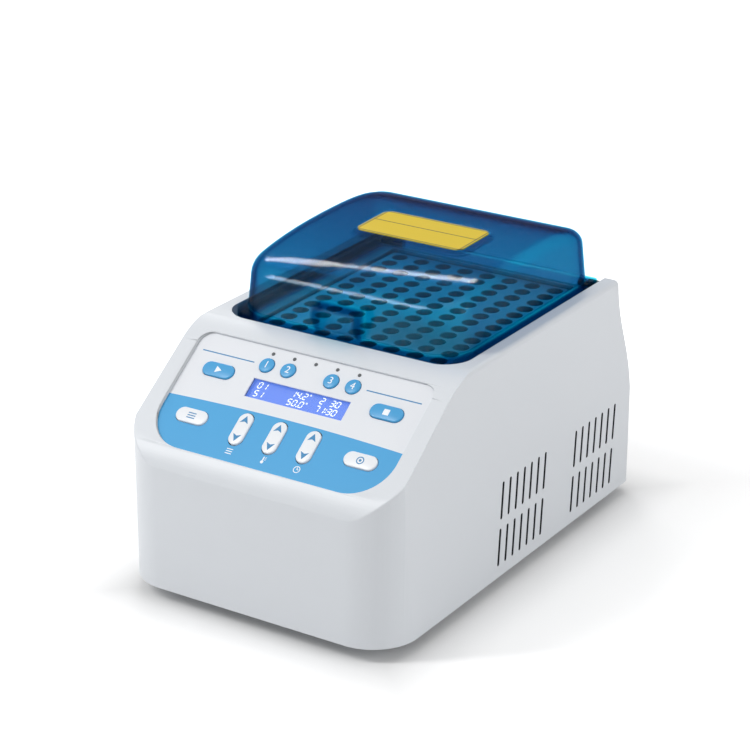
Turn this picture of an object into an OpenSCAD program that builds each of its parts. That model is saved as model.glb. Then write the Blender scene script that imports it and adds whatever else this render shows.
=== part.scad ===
// Dry block heater: a moulded housing with a sloping control panel, a 96-well
// aluminium block in an open well, and a clear hinged cover over it.
// Millimetres, +Z up, front towards -Y, origin on the bench under the body's middle.

/* [Housing] */
// Width of the housing at its lower edge
body_w = 178; // [172:1:190]
// Depth of the housing, front face to rear foot
body_d = 272; // [268:1:300]
// Height of the rim above the bench
rim_z = 140; // [138:1:150]
// Wall of the moulded housing
wall = 2.5; // [2:0.1:3]
// How far each side wall leans in at the rim
side_draft = 3; // [0:0.5:4]
// Plan radius of the two front corners
front_r = 28; // [20:1:32]
// Plan radius of the two rear corners
rear_r = 10; // [5:1:14]
// Radius of the shoulder between rim and sloping panel
shoulder_r = 50; // [40:1:55]
// Radius of the nose below the sloping panel
nose_r = 33; // [28:1:38]
// Rounding of the edges beside the sloping panel
bezel_r = 8; // [4:0.5:9]
// Rounding of the rim's side edges
rim_r = 3; // [2.6:0.1:5]
// Slope angle at which the nose meets the front face
nose_end = 67; // [60:1:75]
// How far the rear of the rim sits ahead of the rear foot
rear_lean = 22; // [18:1:26]
// Depth of the low step behind the well, below the rim
deck_drop = 12; // [11:1:14]

/* [Feet and floor] */
// Height of the rubber feet, bench to floor plate
foot_h = 8.6; // [7:0.1:12]
// Diameter of a rubber foot
foot_d = 18; // [12:1:22]
// Thickness of the steel floor plate
floor_t = 2; // [1.5:0.1:3]
// How far the housing's edge hangs below the floor plate
skirt_lap = 0.6; // [0.3:0.1:1.5]
// Inset of the feet from the housing's sides
foot_inset_x = 20; // [18:1:30]
// Inset of the feet from the housing's front and rear
foot_inset_y = 30; // [28:1:40]

/* [Control panel] */
// Slope of the panel from the horizontal
panel_slope = 36; // [32:1:40]
// Distance from the front face back to the lamp row
lamp_back = 65.6; // [62:0.2:68]
// Depth of the lamp row below the rim
lamp_drop = 8.4; // [7:0.2:10]
// Width of the panel film
panel_w = 152; // [148:1:156]
// Panel above the lamp row
panel_up = 4; // [3.5:0.5:5]
// Panel below the lamp row
panel_down = 70; // [69:0.5:73]
// Radius of the panel's lower corners
panel_low_r = 24; // [18:1:28]
// Radius of the panel's upper corners
panel_top_r = 8; // [5:1:10]
// Depth of the recess that holds the film, to its face
bezel_step = 2; // [1.5:0.1:2.5]
// Thickness of the panel film
film_t = 0.8; // [0.4:0.1:1]
// Thickness of the seat wall behind the film
seat_t = 2.2; // [2:0.1:2.5]
// Radius of the small lamps' lenses
lamp_r = 1; // [0.8:0.1:1.2]

/* [Keys] */
// Diameter of the four round programme keys
round_key_d = 9; // [8:0.1:9.5]
// Spacing of the round keys and lamps
key_pitch = 14; // [13.5:0.1:14.5]
// Round key row below the lamp row
round_key_drop = 7.8; // [7.6:0.1:8]
// Length of an oblong key
long_key_l = 20.2; // [18:0.1:21]
// Width of an oblong key
long_key_w = 8.9; // [8:0.1:9.2]
// Oblong keys' distance from the panel's middle
long_key_x = 54.6; // [53:0.1:56]
// Upper oblong keys below the lamp row
upper_key_drop = 18; // [17:0.2:20]
// Lower keys below the lamp row
lower_key_drop = 49; // [48.6:0.1:50]
// Spacing of the three rocking keys
rocker_pitch = 21.9; // [20.5:0.1:23]
// Height of a key above the film
key_rise = 1; // [0.6:0.1:1.4]
// Clearance around a key
key_gap = 0.3; // [0.2:0.05:0.4]
// Free height between a key's stem and its switch
press_gap = 0.8; // [0.7:0.05:0.9]
// Radius of a rocking key's axle
axle_r = 1; // [0.8:0.05:1.1]

/* [Display] */
// Width of the display window
window_w = 63; // [60:0.5:64]
// Height of the display window
window_h = 12.2; // [11:0.1:12.6]
// Middle of the display window below the lamp row
window_drop = 22.9; // [22.6:0.1:23.2]

/* [Well and cover] */
// Half width of the well's opening in the rim
well_half = 77; // [76:0.5:78]
// Front edge of the well behind the front face
well_back = 84; // [83:0.5:86]
// Length of the well's opening
well_l = 162; // [161:0.5:164]
// Radius of the well's front corners
well_r = 16; // [12:1:18]
// Clearance between the cover's flange and the well
cover_gap = 1.5; // [1:0.1:2]
// Depth of the ledge below the rim
ledge_drop = 6; // [5:0.2:7]
// Wall of the clear cover
cover_t = 2.5; // [2:0.1:3]
// Width of the flange outside the cover's wall
flange_w = 3; // [2.5:0.1:4]
// Height of the cover above the rim
cover_rise = 37.5; // [34:0.5:42]
// How far the front edge of the cover's top lies below its crown
brow_drop = 7.5; // [5:0.5:10]
// Highest line of the cover's top, behind its front face
crown_back = 102; // [90:1:110]
// Plan radius of the cover's front corners
cover_r = 21; // [16:1:24]
// How far the cover's sides lean in
cover_lean = 4; // [2:0.5:6]
// Width of the grip on the front of the cover
grip_w = 29; // [24:1:40]
// Height of the grip above the rim
grip_rise = 18; // [16:0.5:20]
// Length of the plate on top of the cover
plate_w = 70; // [50:1:72]
// Depth of that plate, front to rear
plate_d = 35; // [25:1:38]
// Radius of the hinge pins
pin_r = 2; // [1.5:0.1:2.2]
// Radial clearance of the turning parts
run_gap = 0.05; // [0.02:0.01:0.08]

/* [Block] */
// Wells across the block
columns = 8; // [6:1:8]
// Wells from front to rear
rows = 12; // [8:1:12]
// Well spacing across
column_pitch = 15.2; // [13:0.1:15.4]
// Well spacing front to rear
row_pitch = 11.7; // [11:0.1:11.8]
// Diameter of a well
well_d = 9.6; // [6:0.1:9.8]
// Depth of a well
well_depth = 34; // [20:1:36]
// Height of the block
block_h = 40; // [38:1:44]
// Metal outside the outermost wells, at the sides
block_side = 8; // [7:0.1:8.4]
// Metal outside the outermost wells, front and rear
block_end = 6.5; // [6:0.1:6.8]
// Depth of the block's top below the rim
block_drop = 8; // [7.5:0.1:9]
// Middle of the block behind the well's front edge
block_back = 85.5; // [84.5:0.5:87]
// Clearance around and under the block
block_gap = 0.3; // [0.2:0.05:0.4]

/* [Heating stack] */
// Thickness of the heater plate
plate_t = 8; // [5:0.5:10]
// Thickness of the thermoelectric modules
module_t = 4; // [3:0.1:5]
// Side of a thermoelectric module
module_w = 40; // [30:1:42]
// Thickness of the heat sink's base
sink_t = 8; // [5:0.5:10]
// Height of the heat sink's fins
fin_h = 30; // [24:1:32]
// Thickness of a fin
fin_t = 2; // [1.5:0.1:3]
// Side of the fan frame
fan_w = 80; // [70:1:82]
// Depth of the fan frame
fan_t = 25; // [20:1:25]

/* [Vents] */
// Slots in a group
slots = 7; // [3:1:7]
// Slot spacing
slot_pitch = 7.86; // [7:0.02:8]
// Width of a slot
slot_w = 2.2; // [1.6:0.1:2.8]
// Length of a slot
slot_l = 22; // [16:0.5:24]
// Height of the lower row above the bench
slot_z = 15; // [14:0.5:18]
// Spacing of the two rows
slot_row = 27.3; // [26:0.1:29]
// Lean of the slots
slot_lean = 7.4; // [0:0.2:9]
// First slot behind the front face
slot_back = 112; // [108:1:116]
// Spacing of the two groups
slot_group = 82.8; // [78:0.2:86]

/* [Power entry] */
// Height of the inlet's middle above the bench
inlet_z = 46; // [44:0.5:50]
// Inlet's place across the rear
inlet_x = 38; // [34:1:40]
// Width of the inlet's body
inlet_w = 28; // [27:0.2:29]
// Height of the inlet's body with its fuse drawer
inlet_h = 34; // [33:0.2:35]
// Switch's place across the rear
switch_x = 0; // [-6:1:2]
// Half of the switch rocker's swing
switch_tilt = 10; // [6:1:12]

/* [Hidden] */
$fn = 48;
e = 0.01;
front_y = -body_d / 2;
rear_y = body_d / 2;
half_w = body_w / 2;
shell_z = foot_h - skirt_lap;
floor_z = foot_h + floor_t;
seat_gap = 0.3;
seat_half = 2.5;

// Panel frame: x across, v up the slope, n outwards; the lamp row is v = 0.
lamp_y = front_y + lamp_back;
lamp_z = rim_z - lamp_drop;
slope_s = sin(panel_slope);
slope_c = cos(panel_slope);
module on_panel() translate([0, lamp_y, lamp_z]) rotate([panel_slope, 0, 0]) children();
seat_n = -film_t - seat_t;
stem_n = seat_n - 3.1;
board_n = seat_n - 6.3;
board_t = 1.6;
row_keys = [-2 * key_pitch, -key_pitch, key_pitch, 2 * key_pitch];
row_lamps = [-2, -1, 0, 1, 2];
rock_slack = 0.6;

function arc(c, r, a0, a1, n = 10) =
    [for (i = [0:n]) let (a = a0 + (a1 - a0) * i / n) [c[0] + r * cos(a), c[1] + r * sin(a)]];
function bezier(a, b, c, d, n = 12) =
    [for (i = [0:n]) let (t = i / n, u = 1 - t)
        u * u * u * a + 3 * u * u * t * b + 3 * u * t * t * c + t * t * t * d];

// Housing section from the side, inset by i: [y, z].
function shoulder_c() = [lamp_y + (slope_c * (rim_z - shoulder_r - lamp_z) - bezel_step
    + shoulder_r) / slope_s, rim_z - shoulder_r];
function nose_c() = let (
    cy = front_y + nose_r * sin(nose_end),
    ty = cy - nose_r * slope_s,
    tz = lamp_z + bezel_step / slope_c + (ty - lamp_y) * slope_s / slope_c)
    [cy, tz - nose_r * slope_c];
waist_z = 60;
function rear_curve(i) = bezier([rear_y - rear_lean - i, rim_z - i], [rear_y - rear_lean + 1 - i, rim_z - 32],
    [rear_y - 5.5 - i, waist_z + 36], [rear_y - 4.5 - i, waist_z]);
function body_side(i, z0) = concat(
    [[front_y + i, z0]],
    arc(nose_c(), nose_r - i, 90 + asin((nose_r * sin(nose_end) - i) / (nose_r - i)), 90 + panel_slope),
    arc(shoulder_c(), shoulder_r - i, 90 + panel_slope, 90),
    rear_curve(i),
    [[rear_y - i, shell_z], [rear_y - i, z0 - e]]);

module corners(x, y0, y1, rf, rb) {
    translate([-x, y0 + rf]) square([2 * x, y1 - y0 - rf - rb]);
    translate([-x + rf, y0]) square([2 * (x - rf), 2 * rf]);
    translate([-x + rb, y1 - 2 * rb]) square([2 * (x - rb), 2 * rb]);
    for (s = [-1, 1]) {
        translate([s * (x - rf), y0 + rf]) circle(rf);
        translate([s * (x - rb), y1 - rb]) circle(rb);
    }
}
module along_x(w) rotate([90, 0, 90]) linear_extrude(w, center = true) children();
module along_y(d) rotate([90, 0, 0]) linear_extrude(d, center = true) children();
module box(x0, x1, y0, y1, z0, z1) translate([x0, y0, z0]) cube([x1 - x0, y1 - y0, z1 - z0]);
module rod_x(x0, x1, y, z, r) translate([x0, y, z]) rotate([0, 90, 0]) cylinder(r = r, h = x1 - x0);
module rod_y(x, y0, y1, z, r) translate([x, y0, z]) rotate([-90, 0, 0]) cylinder(r = r, h = y1 - y0);
module stadium(l, w) {
    square([l - w, w], center = true);
    for (s = [-1, 1]) translate([s * (l - w) / 2, 0]) circle(d = w);
}

// The side walls lean in; seen in the panel's own frame they turn by slope_a and lean by bezel_a.
side_a = atan(side_draft / (rim_z - shell_z));
function side_x(z) = half_w - tan(side_a) * (z - shell_z);
slope_a = atan(tan(side_a) * slope_s);
bezel_a = atan(tan(side_a) * slope_c * cos(slope_a));
bezel_x = (side_x(lamp_z) - tan(side_a) * slope_c * (bezel_step - bezel_r)) * cos(slope_a)
    - bezel_r / cos(bezel_a);
function both_sides(half) = concat(half, [for (k = [len(half) - 1:-1:0]) [-half[k][0], half[k][1]]]);

// The housing's outer form (i = 0) or its inside (i = wall).
module body_form(i) {
    z0 = i > 0 ? shell_z - 1 : shell_z;
    intersection() {
        translate([0, 0, z0]) linear_extrude(rim_z - z0 + 1)
            corners(half_w - i, front_y + i, rear_y - i, front_r - i, rear_r - i);
        along_x(body_w + 2) polygon(body_side(i, z0));
        along_y(body_d + 2) polygon(both_sides(concat([[half_w - i, z0]],
            arc([side_x(rim_z - rim_r) - rim_r / cos(side_a), rim_z - rim_r], rim_r - i, side_a, 90))));
        for (s = [0, 1]) on_panel() mirror([s, 0, 0]) rotate(slope_a) along_y(3 * body_d) polygon(concat(
            [[-body_w, -body_d], [bezel_x + bezel_r + 9, -body_d]],
            arc([bezel_x, bezel_step - bezel_r], bezel_r - i, bezel_a, 90), [[-body_w, bezel_step + 3]]));
    }
}

// Well, ledge and low rear step
well_y0 = front_y + well_back;
well_y1 = well_y0 + well_l;
deck_z = rim_z - deck_drop;
ledge_z = rim_z - ledge_drop;
ledge_t = 3;
module well_plan(grow) corners(well_half + grow, well_y0 - grow, well_y1 + grow, well_r + grow, 1);
module well_cut() {
    translate([0, 0, ledge_z - ledge_t - 10]) linear_extrude(60) well_plan(0);
    box(-well_half, well_half, well_y1 - 12, rear_y + 1, deck_z, rim_z + 20);
}

module panel_plan(grow) translate([0, -panel_down])
    corners(panel_w / 2 + grow, -grow, panel_up + panel_down + grow, panel_low_r + grow, panel_top_r + grow);

// Key outlines on the panel, grown by g
module round_keys(g) for (x = row_keys) translate([x, -round_key_drop]) circle(d = round_key_d + 2 * g);
module long_keys(g) for (s = [-1, 1], v = [upper_key_drop, lower_key_drop])
    translate([s * long_key_x, -v]) stadium(long_key_l + 2 * g, long_key_w + 2 * g);
module rocker_plan(g) rotate(90) stadium(long_key_l + 2 * g + rock_slack, long_key_w + 2 * g);
module rocker_places() for (i = [-1, 0, 1]) translate([i * rocker_pitch, -lower_key_drop]) children();
module lamp_places() for (i = row_lamps) translate([i * key_pitch, 0]) children();
module key_holes() {
    round_keys(key_gap);
    long_keys(key_gap);
    rocker_places() rocker_plan(key_gap);
    lamp_places() circle(lamp_r + 0.1);
}
rocker_axle_n = seat_n - 1.7;
ear_x = long_key_w / 2 + 0.6;
ear_w = 2;

// Screw bosses that hold the floor plate
boss_r = 5;
boss_h = 22;
boss_bore = 1.55;
boss_x = half_w - wall - boss_r + 0.6;
boss_ys = [front_y + 44, rear_y - 50];
screw_hole = 1.8;
board_holes = [[panel_w / 2 - 8, -4], [panel_w / 2 - 14, 9 - panel_down]];
board_boss_d = 6;
board_bore = 1.1;
ear_l = 5;
ear_drop = 3.4;
window_lip = 1.4;
window_t = 1.4;
rear_cut_w = 132;
rear_cut_z = [floor_z + 6, 78];

module slot_places() for (s = [-1, 1], g = [0, 1], c = [0:slots - 1], r = [0, 1])
    translate([s * half_w, 0, 0]) rotate([90, 0, 90]) linear_extrude(2 * (wall + side_draft + 2), center = true)
        translate([front_y + slot_back + g * slot_group + c * slot_pitch, slot_z]) rotate(-slot_lean)
            translate([0, slot_l / 2 + r * slot_row]) rotate(90) stadium(slot_l, slot_w);

module housing() color([0.84, 0.85, 0.86]) difference() {
    union() {
        difference() {
            body_form(0);
            body_form(wall);
        }
        intersection() {
            body_form(e);
            union() {
                on_panel() translate([0, 0, seat_n]) linear_extrude(film_t + seat_t + 0.5) panel_plan(wall);
                translate([0, 0, deck_z - wall]) linear_extrude(deck_drop + wall + 5) well_plan(wall);
                box(-well_half - wall, well_half + wall, well_y1 - 1, rear_y, deck_z - wall, rim_z + 5);
            }
        }
        on_panel() {
            for (s = [-1, 1], h = board_holes) translate([s * h[0], h[1], board_n])
                cylinder(d = board_boss_d, h = seat_n - board_n + e);
            for (i = [-1, 0, 1], s = [-1, 1])
                translate([i * rocker_pitch + s * (ear_x + ear_w / 2), -lower_key_drop, seat_n - ear_drop / 2])
                    cube([ear_w, ear_l, ear_drop + e], center = true);
        }
        for (s = [-1, 1], y = boss_ys) translate([s * boss_x, y, floor_z]) cylinder(r = boss_r, h = boss_h);
    }
    well_cut();
    on_panel() {
        translate([0, 0, -film_t]) linear_extrude(12) panel_plan(seat_gap);
        translate([0, 0, seat_n - 1]) linear_extrude(seat_t + 2) {
            key_holes();
            translate([0, -window_drop]) square([window_w + 2 * (window_lip + seat_gap),
                window_h + 2 * (window_lip + seat_gap)], center = true);
        }
        for (s = [-1, 1], h = board_holes) translate([s * h[0], h[1], board_n - 1])
            cylinder(r = board_bore, h = 6);
        for (i = [-1, 0, 1]) translate([i * rocker_pitch, -lower_key_drop, rocker_axle_n])
            rotate([0, 90, 0]) cylinder(r = axle_r + run_gap, h = 2 * (ear_x + ear_w) + 2, center = true);
    }
    slot_places();
    box(-rear_cut_w / 2, rear_cut_w / 2, rear_y - 20, rear_y + 1, rear_cut_z[0], rear_cut_z[1]);
    for (s = [-1, 1], y = boss_ys) translate([s * boss_x, y, floor_z - 1])
        cylinder(r = boss_bore, h = boss_h - 7);
}

// Floor plate, feet and their screws
foot_seat = 5.2;
foot_screw_r = 1.6;
foot_head_r = 3.2;
foot_head_h = 1.8;
nut_r = 3;
nut_h = 2.4;
floor_screw_r = 1.5;
floor_screw_l = 14;
floor_head_r = 3;
floor_head_h = 2.2;
foot_x = half_w - foot_inset_x;
foot_ys = [front_y + foot_inset_y, rear_y - foot_inset_y];
module feet_places() for (s = [-1, 1], y = foot_ys) translate([s * foot_x, y, 0]) children();
module boss_places() for (s = [-1, 1], y = boss_ys) translate([s * boss_x, y, 0]) children();
standoff_x = 52;
standoff_back = 26;
standoff_span = 48;
standoff_ys = [front_y + standoff_back, front_y + standoff_back + standoff_span];
module standoff_places() for (s = [-1, 1], y = standoff_ys) translate([s * standoff_x, y, 0]) children();
block_cy = well_y0 + block_back;
fan_corner = 4.3;
post_r = 3.4;
post_bore = 1.5;
post_x = (columns - 1) * column_pitch / 2 + 4.8;
post_y = (rows - 1) * row_pitch / 2 - 3;
module post_places() for (s = [-1, 1], t = [-1, 1]) translate([s * post_x, block_cy + t * post_y, 0])
    children();
fan_hole = fan_w / 2 - fan_corner;
module fan_places() for (s = [-1, 1], t = [-1, 1]) translate([s * fan_hole, block_cy + t * fan_hole, 0])
    children();

module floor_plate() color([0.62, 0.64, 0.66]) difference() {
    translate([0, 0, foot_h]) linear_extrude(floor_t) difference() {
        corners(half_w - wall - seat_gap - 0.2, front_y + wall + seat_gap, rear_y - wall - seat_gap,
            front_r - wall, rear_r - wall);
        for (i = [-4:4]) translate([0, block_cy + i * 8]) stadium(62 - abs(i) * 5, 4);
    }
    feet_places() cylinder(r = screw_hole, h = 30);
    boss_places() cylinder(r = screw_hole, h = 30);
    standoff_places() cylinder(r = screw_hole - 0.2, h = 30);
    post_places() cylinder(r = screw_hole, h = 30);
}
module rubber_feet() color([0.12, 0.12, 0.13]) feet_places() difference() {
    rotate_extrude() polygon([[0, 0], [foot_d / 2 - 1, 0], [foot_d / 2, 1], [foot_d / 2, foot_h], [0, foot_h]]);
    translate([0, 0, -1]) cylinder(r = foot_head_r + 0.8, h = 1 + foot_seat);
    cylinder(r = screw_hole, h = 30);
}
module screw(r, l, head_r, head_h) {
    cylinder(r = head_r, h = head_h);
    cylinder(r = r, h = l);
}
module foot_screws() color("silver") feet_places() {
    translate([0, 0, foot_seat - foot_head_h])
        screw(foot_screw_r, foot_h + floor_t - foot_seat + 6, foot_head_r, foot_head_h);
    translate([0, 0, foot_h + floor_t]) cylinder(r = nut_r, h = nut_h, $fn = 6);
}
module floor_screws() color("silver") boss_places() translate([0, 0, foot_h - floor_head_h])
    screw(floor_screw_r, floor_t + floor_screw_l, floor_head_r, floor_head_h);

// Rear panel and power entry
panel_y = rear_y - wall - 9;
rear_t = 1.5;
rear_face = panel_y + rear_t;
rear_half = rear_cut_w / 2 + 4;
rear_top = rear_cut_z[1] + 5;
inlet_flange = 3;
switch_w = 13;
switch_h = 19;
switch_lip = 1.5;
switch_axle = 1.2;
inlet_deep = 24;
ear_span = 50;
ear_h = 13;
inlet_screw_x = 20;
inlet_screw_r = 1.5;
grille_x = -40;
grille_l = 34;
grille_h = 3;
module rear_panel() color([0.68, 0.7, 0.72]) difference() {
    box(-rear_half, rear_half, panel_y, rear_face, floor_z, rear_top);
    box(inlet_x - inlet_w / 2 - 0.3, inlet_x + inlet_w / 2 + 0.3, panel_y - 1, rear_face + 1,
        inlet_z - inlet_h / 2 - 0.3, inlet_z + inlet_h / 2 + 0.3);
    box(switch_x - switch_w / 2 - 0.3, switch_x + switch_w / 2 + 0.3, panel_y - 1, rear_face + 1,
        inlet_z - switch_h / 2 - 0.3, inlet_z + switch_h / 2 + 0.3);
    for (s = [-1, 1]) rod_y(inlet_x + s * inlet_screw_x, panel_y - 1, rear_face + 1, inlet_z,
        inlet_screw_r + 0.1);
    for (i = [-3:3]) translate([grille_x, rear_face, inlet_z + i * 7]) rotate([90, 0, 0])
        linear_extrude(8, center = true) stadium(grille_l, grille_h);
}
socket_z = inlet_z + 4;
drawer_z = inlet_z - 11.5;
drawer_w = 21.4;
drawer_h = 6.6;
drawer_deep = 15.7;
socket_w = 24;
socket_h = 16.4;
contact_places = [[-7, -1.5], [7, -1.5], [0, 2.5]];
module socket_plan() difference() {
    square([socket_w, socket_h], center = true);
    for (s = [-1, 1]) translate([s * socket_w / 2, socket_h / 2]) rotate(45) square(6, center = true);
}
module power_inlet() color([0.13, 0.13, 0.14]) difference() {
    union() {
        box(inlet_x - inlet_w / 2, inlet_x + inlet_w / 2, panel_y - inlet_deep, rear_face + e,
            inlet_z - inlet_h / 2, inlet_z + inlet_h / 2);
        translate([inlet_x, rear_face + inlet_flange / 2, inlet_z]) rotate([90, 0, 0])
            linear_extrude(inlet_flange, center = true) {
                square([inlet_w + 4, inlet_h + 4], center = true);
                stadium(ear_span, ear_h);
            }
    }
    translate([inlet_x, rear_face + inlet_flange + e, socket_z]) rotate([90, 0, 0])
        linear_extrude(20) socket_plan();
    box(inlet_x - drawer_w / 2 - seat_gap, inlet_x + drawer_w / 2 + seat_gap, panel_y - drawer_deep - seat_gap,
        rear_face + inlet_flange + 1, drawer_z - drawer_h / 2 - seat_gap, drawer_z + drawer_h / 2 + seat_gap);
    for (s = [-1, 1]) rod_y(inlet_x + s * inlet_screw_x, panel_y - 5, rear_face + 9, inlet_z,
        inlet_screw_r + 0.1);
    for (p = contact_places) box(inlet_x + p[0] - 1, inlet_x + p[0] + 1,
        panel_y - 30, rear_face - 10, socket_z + p[1] - 2, socket_z + p[1] + 2);
}
module inlet_contacts() color("silver") for (p = contact_places)
    box(inlet_x + p[0] - 1, inlet_x + p[0] + 1, panel_y - 30, rear_face - 3,
        socket_z + p[1] - 2, socket_z + p[1] + 2);
module fuse_drawer() color([0.16, 0.16, 0.17]) difference() {
    union() {
        box(inlet_x - drawer_w / 2, inlet_x + drawer_w / 2, panel_y - drawer_deep,
            rear_face + inlet_flange - 0.2, drawer_z - drawer_h / 2, drawer_z + drawer_h / 2);
        box(inlet_x - 4, inlet_x + 4, rear_face + inlet_flange - 0.3, rear_face + inlet_flange + 1.3,
            drawer_z - 2.4, drawer_z + 2.4);
    }
    box(inlet_x - drawer_w / 2 + 1.7, inlet_x + drawer_w / 2 - 1.7, panel_y - drawer_deep + 2.7, rear_face - 1,
        drawer_z - drawer_h / 2 + 1.5, drawer_z + drawer_h);
}
module inlet_screws() color("silver") for (s = [-1, 1]) {
    rod_y(inlet_x + s * inlet_screw_x, panel_y - 4, rear_face + inlet_flange + 0.1, inlet_z, inlet_screw_r);
    rod_y(inlet_x + s * inlet_screw_x, rear_face + inlet_flange, rear_face + inlet_flange + 1.6, inlet_z, 2.8);
}
switch_y = rear_face - 3.4;
module switch_frame() color([0.13, 0.13, 0.14]) difference() {
    union() {
        box(switch_x - switch_w / 2, switch_x + switch_w / 2, panel_y - 14, rear_face + e,
            inlet_z - switch_h / 2, inlet_z + switch_h / 2);
        box(switch_x - switch_w / 2 - switch_lip, switch_x + switch_w / 2 + switch_lip,
            rear_face, rear_face + 1.8, inlet_z - switch_h / 2 - 2, inlet_z + switch_h / 2 + 2);
    }
    box(switch_x - switch_w / 2 + 1.3, switch_x + switch_w / 2 - 1.3, panel_y - 9, rear_face + 3,
        inlet_z - switch_h / 2 + 1.1, inlet_z + switch_h / 2 - 1.1);
    rod_x(switch_x - switch_w / 2 + 0.3, switch_x + switch_w / 2 - 0.3, switch_y, inlet_z,
        switch_axle + run_gap);
}
module switch_rocker() color([0.1, 0.1, 0.1]) translate([switch_x, switch_y, inlet_z])
    rotate([switch_tilt, 0, 0]) {
        along_x(switch_w - 3.4)
            polygon([[-3.5, -4.5], [4.6, -6.9], [5.4, -5.4], [4, 0], [5.4, 5.4], [4.6, 6.9], [-3.5, 4.5]]);
        rod_x(-switch_w / 2 + 0.5, switch_w / 2 - 0.5, 0, 0, switch_axle);
    }

// Clear cover
cover_z0 = ledge_z + seat_gap;
flange_top = rim_z + 1;
flange_x = well_half - cover_gap;
flange_y0 = well_y0 + cover_gap + 1;
flange_y1 = well_y1 - 0.5;
cover_x = flange_x - flange_w;
cover_y0 = flange_y0 + flange_w + 0.5;
cover_y1 = flange_y1 - 1.5;
crown_z = rim_z + cover_rise;
brow_z = crown_z - brow_drop;
knuckle_r = pin_r + 1;
hinge_y = well_y1 + seat_gap + 0.2 + knuckle_r;
hinge_z = deck_z + knuckle_r + 3.5;
module cover_form(i) {
    z0 = i > 0 ? cover_z0 - 1 : cover_z0;
    x = cover_x - i;
    y0 = cover_y0 + i;
    y1 = cover_y1 - i;
    top = crown_z - i;
    brow = brow_z - i;
    intersection() {
        translate([0, 0, z0]) linear_extrude(crown_z - z0 + 1) corners(x, y0, y1, cover_r - i, 6 - i / 2);
        along_x(body_w) polygon(concat([[y0, z0], [y0, flange_top]],
            bezier([y0 + 2.6, brow - 9], [y0 + 3.4, brow - 3], [y0 + 7, brow - 0.8], [y0 + 18, brow + 0.4]),
            bezier([y0 + 22, brow + 1.3], [y0 + 36, brow + 4.2], [y0 + 60, top], [y0 + crown_back, top]),
            bezier([y0 + crown_back + 1, top], [y1 - 29, top], [y1 - 6, top - 2.5], [y1 - 3, top - 12]),
            [[y1, flange_top], [y1, z0]]));
        along_y(body_d) polygon(both_sides(concat([[x, z0], [x, flange_top]],
            bezier([x - 0.6 * cover_lean, top - 9.5], [x - 0.8 * cover_lean, top - 2.5],
                [x - 1.6 * cover_lean, top - 0.5], [x - 3.8 * cover_lean, top]), [[x - 6 * cover_lean, top]])));
    }
}
grip_top = rim_z + grip_rise;
grip_t = 2.4;
grip_y = flange_y0 - 6;
plate_y = cover_y0 + 84;
pocket_d = 1.3;
pocket_rim = 1.5;
plate_film_t = 0.6;
plate_r = 5;
plate_tilt = 1.3;
module on_crown() translate([0, plate_y, crown_z - pocket_d]) rotate([plate_tilt, 0, 0]) children();
ear_in = cover_x - 12;
hinge_ear = 6;
bracket_w = 8;
module cover() color([0, 0.35, 0.65, 0.55]) difference() {
    union() {
        cover_form(0);
        translate([0, 0, cover_z0]) linear_extrude(flange_top - cover_z0)
            corners(flange_x, flange_y0, flange_y1, well_r + 1, 3);
        along_x(grip_w) polygon([[flange_y0, flange_top - e], [grip_y, flange_top + 9], [grip_y, grip_top],
            [cover_y0 + 9, grip_top], [cover_y0 + 3, flange_top - e]]);
        for (s = [-1, 1]) translate([s * (ear_in + hinge_ear / 2), 0, 0]) along_x(hinge_ear) {
            polygon([[flange_y1 - 6, cover_z0 + e], [flange_y1 + 0.8, cover_z0 + e],
                [hinge_y, hinge_z - knuckle_r], [hinge_y, hinge_z + knuckle_r],
                [flange_y1 - 6, hinge_z + knuckle_r + 2]]);
            translate([hinge_y, hinge_z]) circle(knuckle_r);
        }
    }
    cover_form(cover_t);
    along_x(grip_w - 2 * grip_t) polygon([[flange_y0 - 9, flange_top], [flange_y0 - 9, grip_top - grip_t],
        [cover_y0 + 0.5, grip_top - grip_t], [cover_y0 - 2.5, flange_top]]);
    on_crown() linear_extrude(3) corners(plate_w / 2 + pocket_rim, -plate_d / 2 - pocket_rim,
        plate_d / 2 + pocket_rim, plate_r + pocket_rim, plate_r + pocket_rim);
    for (s = [-1, 1]) rod_x(s * (ear_in + hinge_ear / 2) - hinge_ear, s * (ear_in + hinge_ear / 2) + hinge_ear,
        hinge_y, hinge_z, pin_r + run_gap);
}
module cover_plate() color([0.95, 0.83, 0.2]) on_crown() linear_extrude(plate_film_t)
    corners(plate_w / 2, -plate_d / 2, plate_d / 2, plate_r, plate_r);
bracket_x = [ear_in + hinge_ear + 0.4, ear_in + hinge_ear + 0.4 + bracket_w];
module hinge_brackets() color([0.25, 0.3, 0.3]) for (s = [-1, 1]) difference() {
    translate([s * (bracket_x[0] + bracket_x[1]) / 2, 0, 0]) along_x(bracket_x[1] - bracket_x[0]) {
        translate([hinge_y, hinge_z]) circle(knuckle_r);
        polygon([[hinge_y - knuckle_r, hinge_z], [hinge_y - knuckle_r, deck_z],
            [hinge_y + knuckle_r - 1, deck_z], [hinge_y + knuckle_r, hinge_z]]);
    }
    rod_x(s * ear_in + (s > 0 ? 0 : -24), s * ear_in + (s > 0 ? 24 : 0), hinge_y, hinge_z, pin_r + run_gap);
}
module hinge_pins() color("silver") for (s = [-1, 1])
    translate([s * (ear_in + bracket_x[1]) / 2, hinge_y, hinge_z]) rotate([0, 90, 0])
        cylinder(r = pin_r, h = bracket_x[1] - ear_in - 0.2, center = true);

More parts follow.
